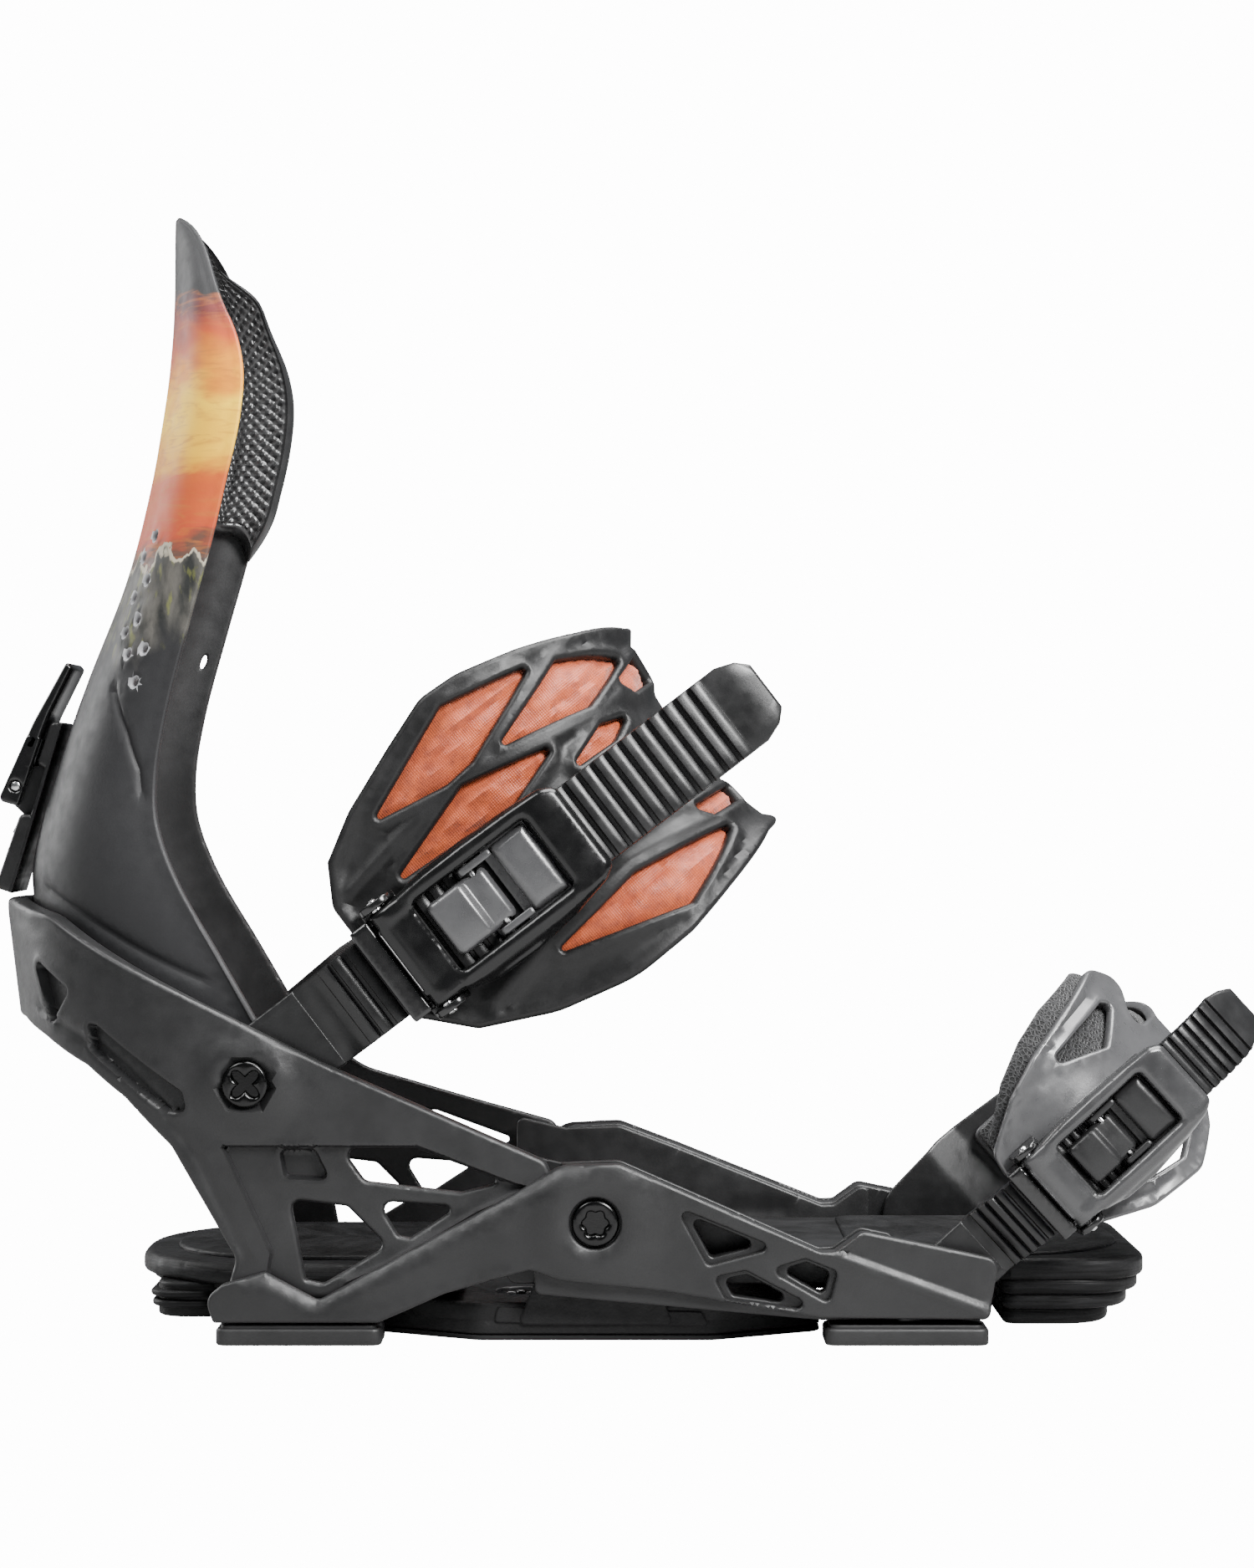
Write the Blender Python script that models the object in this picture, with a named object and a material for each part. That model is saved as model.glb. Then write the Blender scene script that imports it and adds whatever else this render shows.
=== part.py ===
"""A strap snowboard binding for a right foot, whose frame rocks on two kingpins over its base plate.

Row frame: +X towards the toe, -Y the outer (lateral) side with the buckles, +Z up. The origin is
the centre of the mounting disc on the board. Lengths below are millimetres; make() scales them.
"""

import math

import bmesh
import bpy
from mathutils import Matrix, Vector
from mathutils.geometry import tessellate_polygon

MM = 0.001
GAP = 0.35  # running gap between neighbouring pieces
SIDES = {"lateral": -1, "medial": 1}

# Driving dimensions, as distances from the middle plane where they are widths.
WALL_IN, WALL_OUT = 51.0, 56.0  # heel cup walls, inner and outer face
RAIL_OUT = 59.5  # outer face of the chassis rails
KINGPIN_Z = 31.0
KINGPIN_R = 4.0
ANKLE_X, ANKLE_Z = -88.5, 66.0  # shared axis of the ankle strap and the highback
TOE_X, TOE_Z = 88.0, 14.0  # axis of the toe strap
BOLT_R = 3.0
EYE_IN, EYE_OUT = 48.2, 50.7  # strap ends, between the highback ears and the walls
EAR_IN, EAR_OUT = 45.0, 47.9  # highback ears
HEEL_CENTRE_X, HEEL_REACH = -100.0, 57.6  # the heel cup turns round this point, this far back
HEEL_ARC = 88.0  # length of a quarter turn of the heel cup, from its side to its back
BACK_U = HEEL_CENTRE_X - HEEL_ARC
CHEEK_IN, CHEEK_OUT = 44.2, 46.4  # the rails' inner walls
EAR_PLATE_IN = CHEEK_OUT + 0.5  # inner face of the base plate's kingpin ears
MEDIAL_FORWARD = 6.0  # the medial toe guard sits this far ahead of the lateral one
FLOOR = 0.0
FOOT_TOP = 5.2  # top of the rubber bushings
DISC_HOLE_PITCH = 40.0
CONNECTOR_SCREW_R = 1.8

# Every material: colour, roughness, metallic.
MATERIALS = {
    "nylon": ((0.035, 0.035, 0.037), 0.55, 0.0),
    "gloss_nylon": ((0.012, 0.012, 0.013), 0.3, 0.0),
    "highback_print": ((0.62, 0.3, 0.12), 0.45, 0.0),
    "rubber": ((0.02, 0.02, 0.021), 0.8, 0.0),
    "foam": ((0.025, 0.025, 0.026), 0.9, 0.0),
    "strap_shell": ((0.03, 0.03, 0.032), 0.65, 0.0),
    "strap_liner": ((0.62, 0.16, 0.05), 0.6, 0.0),
    "toe_shell": ((0.12, 0.12, 0.125), 0.5, 0.0),
    "mesh_liner": ((0.015, 0.015, 0.016), 0.9, 0.0),
    "release": ((0.16, 0.16, 0.165), 0.5, 0.0),
    "black_steel": ((0.02, 0.02, 0.02), 0.3, 0.9),
    "steel": ((0.6, 0.6, 0.6), 0.25, 1.0),
}


# ---------------------------------------------------------------- modelling helpers


def clear_scene():
    for obj in list(bpy.data.objects):
        bpy.data.objects.remove(obj)


def material(name):
    found = bpy.data.materials.get(name)
    if found:
        return found
    colour, roughness, metallic = MATERIALS[name]
    made = bpy.data.materials.new(name)
    made.use_nodes = True
    shader = made.node_tree.nodes["Principled BSDF"]
    shader.inputs["Base Color"].default_value = (*colour, 1.0)
    shader.inputs["Roughness"].default_value = roughness
    shader.inputs["Metallic"].default_value = metallic
    return made


def empty(name, place, parent=None, turn=None):
    """An axis or a strap's own frame: a point in millimetres, turned by a 3x3 matrix."""
    made = bpy.data.objects.new(name, None)
    bpy.context.scene.collection.objects.link(made)
    local = Matrix.Translation(Vector(place) * MM) @ (turn or Matrix.Identity(3)).to_4x4()
    made.parent = parent
    made.matrix_local = local
    bpy.context.view_layer.update()
    return made


def make(name, bm, finish, frame, local=False, smooth=True):
    """The object of a bmesh in millimetres, given in the row frame, or in the frame's own if local."""
    bmesh.ops.recalc_face_normals(bm, faces=bm.faces)
    if bm.calc_volume(signed=True) < 0:
        bmesh.ops.reverse_faces(bm, faces=bm.faces)
    bm.transform(Matrix.Scale(MM, 4))
    mesh = bpy.data.meshes.new(name)
    bm.to_mesh(mesh)
    bm.free()
    mesh.materials.append(material(finish))
    made = bpy.data.objects.new(name, mesh)
    bpy.context.scene.collection.objects.link(made)
    made.parent = frame
    if not local:
        made.matrix_parent_inverse = frame.matrix_world.inverted()
    if smooth:
        mesh.shade_smooth()
        mesh.set_sharp_from_angle(angle=math.radians(35))
    return made


def combine(target, cutter, operation):
    """Adds or cuts another object with an exact Boolean, and keeps that object as a hidden helper."""
    cutter.hide_render = True
    cutter.display_type = "WIRE"
    step = target.modifiers.new(operation.lower(), "BOOLEAN")
    step.operation = operation
    step.object = cutter
    return target


def rounded(corners, steps=3):
    """An outline from (a, b) or (a, b, radius) corners, with an arc of that radius at a corner."""
    points = []
    for i, corner in enumerate(corners):
        here = Vector(corner[:2])
        if len(corner) < 3:
            points.append(here)
            continue
        before = Vector(corners[i - 1][:2]) - here
        after = Vector(corners[(i + 1) % len(corners)][:2]) - here
        half = before.angle(after) / 2
        cut = min(corner[2] / math.tan(half), 0.48 * before.length, 0.48 * after.length)
        start = here + before.normalized() * cut
        centre = here + (before.normalized() + after.normalized()).normalized() * (cut / math.cos(half))
        sweep = math.copysign(math.pi - 2 * half, before.y * after.x - before.x * after.y)
        for k in range(steps + 1):
            points.append(centre + Matrix.Rotation(sweep * k / steps, 2) @ (start - centre))
    return points


def circle(a, b, radius, sides=16):
    turns = [2 * math.pi * k / sides for k in range(sides)]
    return [Vector((a + radius * math.cos(t), b + radius * math.sin(t))) for t in turns]


def slab(loops, low, high, up=2):
    """A plate between two heights from an outline and its holes. up is the axis it is thick along."""
    bm = bmesh.new()
    others = {0: (1, 2), 1: (0, 2), 2: (0, 1)}[up]
    layers = []
    for height in (low, high):
        layer = []
        for loop in loops:
            for point in loop:
                place = [0.0, 0.0, 0.0]
                place[others[0]], place[others[1]], place[up] = point[0], point[1], height
                layer.append(bm.verts.new(place))
        layers.append(layer)
    flat = [[Vector((p[0], p[1], 0)) for p in loop] for loop in loops]
    for triangle in tessellate_polygon(flat):
        for layer in layers:
            bm.faces.new([layer[i] for i in triangle])
    first = 0
    for loop in loops:
        count = len(loop)
        for i in range(count):
            a, b = first + i, first + (i + 1) % count
            bm.faces.new([layers[0][a], layers[0][b], layers[1][b], layers[1][a]])
        first += count
    bmesh.ops.recalc_face_normals(bm, faces=bm.faces)
    return bm


def sliced(bm, axis, stations):
    """Cuts a mesh across an axis at each station, so that it can bend there."""
    normal = Vector([float(i == axis) for i in range(3)])
    for station in stations:
        everything = bm.verts[:] + bm.edges[:] + bm.faces[:]
        bmesh.ops.bisect_plane(bm, geom=everything, plane_co=normal * station, plane_no=normal)
    return bm


def bent(bm, bend):
    for vert in bm.verts:
        vert.co = bend(vert.co)
    return bm


def rod(half, radius, centre, axis=(0, 1, 0)):
    """A plain pin from -half to +half along its axis."""
    return turned([(-half, 0), (-half, radius), (half, radius), (half, 0)], centre, axis, 12)


def box(low, high):
    bm = bmesh.new()
    low, high = Vector(low), Vector(high)
    size = Matrix.Diagonal((*(high - low), 1))
    bmesh.ops.create_cube(bm, size=1, matrix=Matrix.Translation((low + high) / 2) @ size)
    return bm


def turned(profile, centre, axis, sides=16):
    """A round piece from (distance along the axis, radius) pairs. A radius of 0 closes an end."""
    bm = bmesh.new()
    to_axis = Vector((0, 0, 1)).rotation_difference(Vector(axis)).to_matrix()
    rings = []
    for along, radius in profile:
        if radius == 0:
            rings.append([bm.verts.new(Vector(centre) + to_axis @ Vector((0, 0, along)))])
            continue
        ring = [to_axis @ Vector((*p, along)) for p in circle(0, 0, radius, sides)]
        rings.append([bm.verts.new(Vector(centre) + p) for p in ring])
    for here, there in zip(rings, rings[1:]):
        for i in range(sides):
            k = (i + 1) % sides
            quad = [here[i % len(here)], here[k % len(here)]]
            quad += [there[k % len(there)], there[i % len(there)]]
            unique = list(dict.fromkeys(quad))
            bm.faces.new(unique)
    return bm


def ring(inner, outer, low, high, centre, axis, sides=16):
    """A washer or tube."""
    bm = slab([circle(0, 0, outer, sides), circle(0, 0, inner, sides)], low, high)
    turn = Vector((0, 0, 1)).rotation_difference(Vector(axis)).to_matrix().to_4x4()
    bm.transform(Matrix.Translation(Vector(centre)) @ turn)
    return bm


def shell(rows_out, rows_in):
    """A closed sheet between two grids of points, given as rows of equal length."""
    bm = bmesh.new()
    grids = [[[bm.verts.new(p) for p in row] for row in rows] for rows in (rows_out, rows_in)]
    last_row, last_column = len(rows_out) - 1, len(rows_out[0]) - 1
    for grid in grids:
        for r in range(last_row):
            for c in range(last_column):
                bm.faces.new([grid[r][c], grid[r][c + 1], grid[r + 1][c + 1], grid[r + 1][c]])
    rim = [(0, c) for c in range(last_column)]
    rim += [(r, last_column) for r in range(last_row)]
    rim += [(last_row, c) for c in range(last_column, 0, -1)]
    rim += [(r, 0) for r in range(last_row, 0, -1)]
    for (r, c), (r2, c2) in zip(rim, rim[1:] + rim[:1]):
        bm.faces.new([grids[0][r][c], grids[0][r2][c2], grids[1][r2][c2], grids[1][r][c]])
    return bm


def curve_through(pairs, at):
    """Value between (position, value) pairs in rising order."""
    if at <= pairs[0][0]:
        return pairs[0][1]
    for (a, va), (b, vb) in zip(pairs, pairs[1:]):
        if at <= b:
            t = (at - a) / (b - a)
            return va + (vb - va) * t
    return pairs[-1][1]


# ---------------------------------------------------------------- base, bolted to the board

BASE_TOP = 9.5
BASE_BOTTOM = 1.5
GASKET_TOP = 1.2
DISC_R, DISC_BOSS_R = 41.0, 35.5
DISC_STEP = 5.0


def base_outline():
    """Plan of the base plate: straight ends, and waists between them and the kingpin ears."""
    return rounded(
        [(-58, -34, 6), (-30, -49.5, 8), (30, -49.5, 8), (58, -34, 6)]
        + [(58, 34, 6), (30, 49.5, 8), (-30, 49.5, 8), (-58, 34, 6)]
    )


def build_base(base):
    plate = make(
        "base_plate",
        slab([base_outline(), circle(0, 0, DISC_BOSS_R + GAP, 40)], BASE_BOTTOM, BASE_TOP),
        "nylon",
        base,
    )
    recess = turned(
        [(DISC_STEP, 0), (DISC_STEP, DISC_R + GAP), (BASE_TOP + 5, DISC_R + GAP), (BASE_TOP + 5, 0)],
        (0, 0, 0),
        (0, 0, 1),
        40,
    )
    combine(plate, make("disc_recess_cutter", recess, "nylon", base), "DIFFERENCE")
    for side, sign in SIDES.items():
        near, far = sorted((sign * EAR_PLATE_IN, sign * (WALL_IN - GAP)))
        ear = rounded([(-20, 4), (20, 4), (11, 26), (11, 42, 9), (-11, 42, 9), (-11, 26)])
        ear = slab([ear, circle(0, KINGPIN_Z, KINGPIN_R + GAP)], near, far, up=1)
        combine(plate, make(f"kingpin_ear_{side}_tool", ear, "nylon", base), "UNION")
    make(
        "base_gasket",
        slab([base_outline(), circle(0, 0, DISC_BOSS_R + 1, 40)], FLOOR, GASKET_TOP),
        "foam",
        base,
    )


def build_disc(base):
    top = BASE_TOP - 0.5
    low = DISC_STEP + GAP
    disc = turned(
        [(FLOOR, 0), (FLOOR, DISC_BOSS_R), (low, DISC_BOSS_R), (low, DISC_R), (top, DISC_R), (top, 0)],
        (0, 0, 0),
        (0, 0, 1),
        40,
    )
    disc = make("mounting_disc", disc, "gloss_nylon", base)
    half = DISC_HOLE_PITCH / 2
    places = [(x, y) for x in (-half, half) for y in (-half, half)]
    for number, (x, y) in enumerate(places, 1):
        hole = [(-1, 0), (-1, 3.5), (4, 3.5), (4, 7.3), (top + 2, 7.3), (top + 2, 0)]
        hole = make(f"disc_hole_{number}_cutter", turned(hole, (x, y, 0), (0, 0, 1)), "nylon", base)
        combine(disc, hole, "DIFFERENCE")
        screw = [(0.2, 0), (0.2, BOLT_R), (4.4, BOLT_R), (4.4, 6.6), (7.4, 6.6), (8.2, 5.0), (8.2, 0)]
        make(f"disc_screw_{number}", turned(screw, (x, y, 0), (0, 0, 1), 16), "steel", base)


def build_kingpins(base):
    for side, sign in SIDES.items():
        pin = [(43, 0), (43, KINGPIN_R), (57.2, KINGPIN_R), (57.2, 6.0), (59.4, 6.0), (60, 5.2), (60, 0)]
        pin = turned(pin, (0, 0, KINGPIN_Z), (0, sign, 0))
        make(f"kingpin_{side}", pin, "black_steel", base)


# ---------------------------------------------------------------- chassis and heel cup


def rail_outline(forward):
    """Side view of a rail's outer layer, from the heel foot over the kingpin boss to the toe.
    forward is how far the toe guard sits ahead of the lateral rail's."""
    f = forward
    return rounded(
        [(-96.5, 5.8), (-98.6, 12, 4), (-94, 15.6, 3), (-83.5, 18.6, 1.5), (-70, 11.4, 2)]
        + [(-20, 38.6, 6), (-9, 45.5, 8), (6, 46, 6), (22, 39 + f / 6, 8), (57 + f, 23.6, 3)]
        + [(60.5 + f, 23.8, 2), (67.5 + f, 28.8, 3), (102 + f, 21.8, 3), (99.5 + f, 6.6, 2)]
        + [(57, 7, 2), (18, 13.8, 5), (-9, 16.6, 6), (-16.5, 19.2, 3), (-38, 13.2, 6), (-55, 5.8, 3)],
        2,
    )


def rail_windows(inset):
    """The three windows in a rail's toe half. The inner layer's are smaller by inset."""
    windows = [
        [(20.5, 35), (45.5, 24.8), (28.5, 20.3)],
        [(44, 19.3), (53, 22), (61, 18.8), (59, 10.8)],
        [(30, 17.4), (38, 19), (57.5, 8.6), (33, 11.9)],
    ]
    shrunk = []
    for window in windows:
        middle = sum((Vector(p) for p in window), Vector((0, 0))) / len(window)
        scale = 1 - inset / 6.0
        shrunk.append(rounded([(*(middle + (Vector(p) - middle) * scale), 1.2) for p in window], 1))
    return shrunk


def web_outline(forward):
    """Side view of a rail's middle layer, ahead of the heel cup, with its straight lower edge."""
    f = forward
    return rounded(
        [(-15.4, 27.6), (-8.6, 36), (-8.6, 44.8, 2), (6, 45.6, 6), (22, 38.6 + f / 6, 8)]
        + [(57 + f, 23.2, 3), (60.5 + f, 23.4, 2), (67.5 + f, 28.4, 3), (101.4 + f, 21.4, 3)]
        + [(99 + f, 7.2, 2), (57.6, 6.2, 2), (-15.4, 12.8)],
        2,
    )


def cheek_outline(forward):
    """Side view of a rail's inner wall, which hides the base plate's kingpin ear."""
    f = forward
    return rounded(
        [(-23, 14), (-23, 48.2, 2), (-9, 45, 4), (6, 45.6, 6), (22, 38.6 + f / 6, 8), (57 + f, 23.2, 3)]
        + [(60.5 + f, 23.4, 2), (67.5 + f, 28.4, 3), (76, 26.6 + f / 4, 2), (76, 14)],
        2,
    )


def cap_outline(forward):
    """Side view of the strip that closes a rail's top, over the ear."""
    f = forward
    top = [(-8.6, 44.9), (6, 44.9), (22, 38 + f / 6), (57 + f, 22.8), (61 + f, 22.8), (67.8 + f, 27.6)]
    under = [(69 + f, 24.6), (62 + f, 20.4), (56 + f, 20.4), (21, 35.4 + f / 6), (5, 42.7), (-8.6, 42.7)]
    return top + [(76, 26 + f / 4), (76, 23 + f / 4)] + under


def build_chassis(hanger):
    chassis = None
    bore = circle(0, KINGPIN_Z, KINGPIN_R + GAP, 14)

    def add(label, bm, operation="UNION"):
        combine(chassis, make(f"{label}_tool", bm, "nylon", hanger), operation)

    for side, sign in SIDES.items():
        forward = MEDIAL_FORWARD if side == "medial" else 0.0
        near, far = sorted((sign * (WALL_OUT + GAP), sign * RAIL_OUT))
        outer = slab([rail_outline(forward), bore, *rail_windows(0)], near, far, up=1)
        if chassis is None:
            chassis = make("chassis", outer, "nylon", hanger)
        else:
            add(f"rail_{side}", outer)
        near, far = sorted((sign * WALL_IN, sign * (WALL_OUT + 1.5)))
        add(f"web_{side}", slab([web_outline(forward), bore, *rail_windows(1.6)], near, far, up=1))
        add(f"heel_foot_{side}", box((-95.5, near, 6.2), (-60, far, 10.7)))
        near, far = sorted((sign * CHEEK_IN, sign * CHEEK_OUT))
        add(f"cheek_{side}", slab([cheek_outline(forward), bore], near, far, up=1))
        near, far = sorted((sign * (CHEEK_OUT - 0.5), sign * (WALL_IN + 0.5)))
        add(f"cap_{side}", slab([cap_outline(forward)], near, far, up=1))
        centre, axis = (0, 0, KINGPIN_Z), (0, sign, 0)
        add(f"boss_{side}", ring(KINGPIN_R + 1.5, 12.5, RAIL_OUT - 1.5, RAIL_OUT + 1.2, centre, axis))
    add("heel_bridge", box((-94.5, -WALL_IN - 1, 6.8), (-62, WALL_IN + 1, 10.4)))
    add("toe_bridge", box((60.5, -WALL_IN - 1, 6.8), (78, WALL_IN + 1, 10.4)))
    for side, sign in SIDES.items():
        seat = turned([(57, 0), (57, 6.5), (64, 6.5), (64, 0)], (0, 0, KINGPIN_Z), (0, sign, 0))
        add(f"kingpin_seat_{side}", seat, "DIFFERENCE")
        hole = [(50, 0), (50, 2.4 + GAP), (WALL_IN + 4, 2.4 + GAP), (WALL_IN + 4, 0)]
        hole = turned(hole, (TOE_X, 0, TOE_Z), (0, sign, 0), 12)
        add(f"toe_bolt_hole_{side}", hole, "DIFFERENCE")


def heel_bend(point):
    """Wraps the heel cup's flat pattern (u, distance out, height) round the heel. The pattern runs
    from the lateral tip to the back at BACK_U, and on to the medial tip."""
    u, out, height = point
    side = -1.0 if u >= BACK_U else 1.0
    u = max(u, 2 * BACK_U - u)
    if u >= HEEL_CENTRE_X:
        return Vector((u, side * out, height))
    turn = (HEEL_CENTRE_X - u) / HEEL_ARC * math.pi / 2
    taper = max(0.0, 108.0 - height) * 0.13 * math.sin(turn) ** 2
    reach = HEEL_REACH - taper - (WALL_OUT - out)
    return Vector((HEEL_CENTRE_X - reach * math.sin(turn), side * out * math.cos(turn), height))


def heel_cup_outline():
    """Flat pattern of the heel cup: arm, lattice and post of each side, joined at the back. The
    medial arm's top edge is the lower one."""
    lateral_top = [(-70, 71.4), (-100, 86.2, 20), (-145, 108, 20), (-168, 111.6, 10)]
    medial_top = [(-168, 111.6, 10), (-145, 108, 20), (-100, 86.2, 12), (-80, 70.5, 16)]
    medial_top += [(-66, 61.5, 20), (-37, 53)]
    lower = [(-12.5, 46.2, 4), (-9, 37), (-16, 28.6), (-60, 11.1), (-94, 11.1), (-91, 21.5, 4)]
    lower += [(-107.5, 50, 8), (-120, 62, 10), (-132, 69.8), (-150, 76.5, 8), (-166, 80.5, 12)]
    across = [(2 * BACK_U - p[0], *p[1:]) for p in medial_top + lower]
    return rounded(lateral_top + across + lower[::-1], 2)


def heel_cup_windows():
    """The lattice windows of each side, the triangle by the heel and the hole of the ankle bolt."""
    corners = [
        [(-80.5, 49.6, 1.5), (-71, 49.6, 1.5), (-66.8, 41, 1.5), (-79, 41.6, 1.5)],
        [(-64.5, 49.4, 2), (-46, 49.4, 2), (-23, 41, 1), (-34, 38.2, 2), (-58.5, 41, 3)],
        [(-77.5, 36.4, 2), (-63, 34.6, 2), (-53, 24.6, 2), (-69, 15, 2), (-73.5, 16, 1)],
        [(-55.4, 36, 2), (-35, 34.4, 1), (-47, 26.6, 1), (-50, 27.2, 1)],
        [(-154, 98, 2), (-137, 89, 2), (-146, 79, 2)],
    ]
    windows = []
    for window in corners:
        windows.append(rounded(window, 1))
        windows.append(rounded([(2 * BACK_U - p[0], *p[1:]) for p in window], 1))
    bolt = BOLT_R + GAP
    windows.append(circle(ANKLE_X, ANKLE_Z, bolt, 12))
    windows.append(circle(2 * BACK_U - ANKLE_X, ANKLE_Z, bolt, 12))
    return windows


def build_heel_cup(hanger):
    flat = slab([heel_cup_outline(), *heel_cup_windows()], WALL_IN, WALL_OUT, up=1)
    steps = 7
    stations = [BACK_U + HEEL_ARC * (k / steps - 1) for k in range(2 * steps + 1)]
    make("heel_cup", bent(sliced(flat, 0, stations), heel_bend), "nylon", hanger)


def build_ankle_fixings(hanger):
    """Cap bolts through wall, strap end and highback ear, each into a flanged nut."""
    for side, sign in SIDES.items():
        centre, axis = (ANKLE_X, 0, ANKLE_Z), (0, sign, 0)
        head = WALL_OUT + GAP
        bolt = [(42, 0), (42, BOLT_R), (head, BOLT_R), (head, 5.9), (58.4, 5.5), (59.2, 3.5), (59.2, 0)]
        make(f"ankle_bolt_{side}", turned(bolt, centre, axis), "black_steel", hanger)
        nut = ring(BOLT_R + GAP, 6.4, 42.4, 44.1, centre, axis)
        make(f"ankle_nut_{side}", nut, "steel", hanger)


def build_toe_fixings(hanger):
    """Screws that hold the toe strap's ends to the inner face of the rails."""
    for side, sign in SIDES.items():
        head = EYE_IN - GAP
        screw = [(44.6, 0), (44.6, 5.0), (head, 5.4), (head, 2.4), (WALL_IN + 3.5, 2.4), (WALL_IN + 3.5, 0)]
        make(
            f"toe_bolt_{side}",
            turned(screw, (TOE_X, 0, TOE_Z), (0, sign, 0), 16),
            "black_steel",
            hanger,
        )


# ---------------------------------------------------------------- footbed and bushings


def stacked_footbed(name, outlines, finish, hanger):
    """A footbed from (outline, bottom, top) layers that overlap a little, joined into one piece."""
    whole = None
    for number, (outline, low, high) in enumerate(outlines):
        layer = slab([outline], low, high)
        made = make(name if whole is None else f"{name}_layer_{number}_tool", layer, finish, hanger)
        whole = made if whole is None else combine(whole, made, "UNION")
    return whole


def heel_plan(back, half, front):
    """Plan of a layer of the heel footbed, rounded at the back."""
    return rounded([(back, -half, half), (front, -half), (front, half), (back, half, half)], 6)


TOE_NECK = 43.0  # half width of the toe ramp between the rails


def toe_plan(front, half, back):
    """Plan of a layer of the toe ramp: narrow between the rails, then full and rounded in front."""
    near_side = [(back, -half), (front, -half, 44)]
    if half > TOE_NECK and back < 103:
        near_side = [(back, -TOE_NECK), (103.5, -TOE_NECK), (106.5, -half, 2), (front, -half, 44)]
    far_side = [(p[0], -p[1], *p[2:]) for p in reversed(near_side)]
    return rounded(near_side + far_side, 5)


def build_footbed(hanger):
    low = 11 + GAP
    stacked_footbed(
        "heel_footbed",
        [
            (heel_plan(-121, 45, -34), low + 1.6, 18.6),
            (heel_plan(-112, 36, -40), 17, 20.3),
            (heel_plan(-118.5, 42.5, -34), low, 14),
            (heel_plan(-114, 37, -97), 4, 13),
        ],
        "foam",
        hanger,
    )
    stacked_footbed(
        "toe_ramp",
        [
            (toe_plan(144.5, 45, 34), 12.5, 20.2),
            (toe_plan(140, 40, 66), 19, 21.6),
            (toe_plan(139, 42.5, 106), 7, 14),
            (toe_plan(132, 37, 106), 2.4, 9),
        ],
        "foam",
        hanger,
    )


def build_bushings(hanger):
    """Rubber blocks under the four corners of the frame, which stand on the board."""
    for end, start, stop in (("heel", -96, -54), ("toe", 58, 99.5)):
        for side, sign in SIDES.items():
            if (end, side) == ("toe", "medial"):
                stop += MEDIAL_FORWARD
            near, far = sorted((sign * 43.0, sign * (RAIL_OUT - 0.5)))
            plan = rounded([(start, near, 2), (stop, near, 2), (stop, far, 2), (start, far, 2)], 2)
            make(f"bushing_{end}_{side}", slab([plan], FLOOR, FOOT_TOP), "rubber", hanger)


# ---------------------------------------------------------------- highback

# The highback's outer surface by height: its spine, the front edge of its wings, and half its width.
SPINE = [(57, -145.5), (80, -148), (95, -149.8), (113, -151.4), (119, -151.6), (148, -144), (168, -137)]
SPINE += [(196, -126), (221, -119.5), (235, -117), (250, -114.8), (268, -113.4), (293.5, -113.6)]
WING = [(57, -84), (66, -79.5), (75, -83), (84, -88), (97, -95.5), (117, -107), (132, -113.5), (144, -115)]
WING += [(160, -112.6), (186, -106), (218, -95.8), (236, -91.2), (248, -90.4), (257, -92.2), (268, -97)]
WING += [(285, -105.5), (291, -110), (293.5, -112.5)]
HALF = [(57, EAR_OUT), (90, EAR_OUT), (117, 46), (145, 42.5), (200, 44), (245, 45), (258, 42.5)]
HALF += [(268, 38), (280, 30), (287, 22), (291, 14), (293.5, 7)]
EDGE = [(0.0, 100), (0.45, 99), (0.62, 95), (0.76, 86), (0.86, 74), (0.92, 60), (0.96, 57), (1.0, 57)]
HIGHBACK_T = 2.9
PAD_FORWARD = 6.5  # how far the pad stands forward of the wings
BACK_FROM = 117.0  # above this height the rows are level


def highback_point(share, height, depth=0.0):
    """A point of the highback. share is -1 at the lateral wing, 0 on the spine and 1 at the medial
    wing; depth is the distance inside the outer surface."""
    wing, spine = curve_through(WING, height), curve_through(SPINE, height)
    half = curve_through(HALF, height) - depth
    turn = share * math.pi / 2
    reach = max(wing - spine - depth, 0.5)
    return Vector((wing - reach * math.cos(turn) ** 0.85, half * math.sin(turn), height))


def highback_rows(depth, shares, low_rows, heights):
    rows = []
    for k in range(low_rows):
        row = []
        for share in shares:
            foot = curve_through(EDGE, abs(share))
            height = foot + (BACK_FROM - foot) * k / low_rows
            row.append(highback_point(share, height, depth))
        rows.append(row)
    rows += [[highback_point(share, height, depth) for share in shares] for height in heights]
    return rows


def build_highback(back):
    columns = 18
    shares = [2 * k / columns - 1 for k in range(columns + 1)]
    shares = [math.copysign(abs(s) ** 0.85, s) for s in shares]
    heights = [117, 132, 146, 160, 178, 198, 218, 236, 250, 260, 270, 280, 287, 291, 292.8]
    sheet = shell(
        highback_rows(0, shares, 5, heights),
        highback_rows(HIGHBACK_T, shares, 5, heights),
    )
    made = make("highback", sheet, "highback_print", back)
    bore = turned(
        [(-60, 0), (-60, BOLT_R + GAP), (60, BOLT_R + GAP), (60, 0)],
        (ANKLE_X, 0, ANKLE_Z),
        (0, 1, 0),
        14,
    )
    combine(made, make("highback_bolt_hole_cutter", bore, "nylon", back), "DIFFERENCE")
    return made


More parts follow.
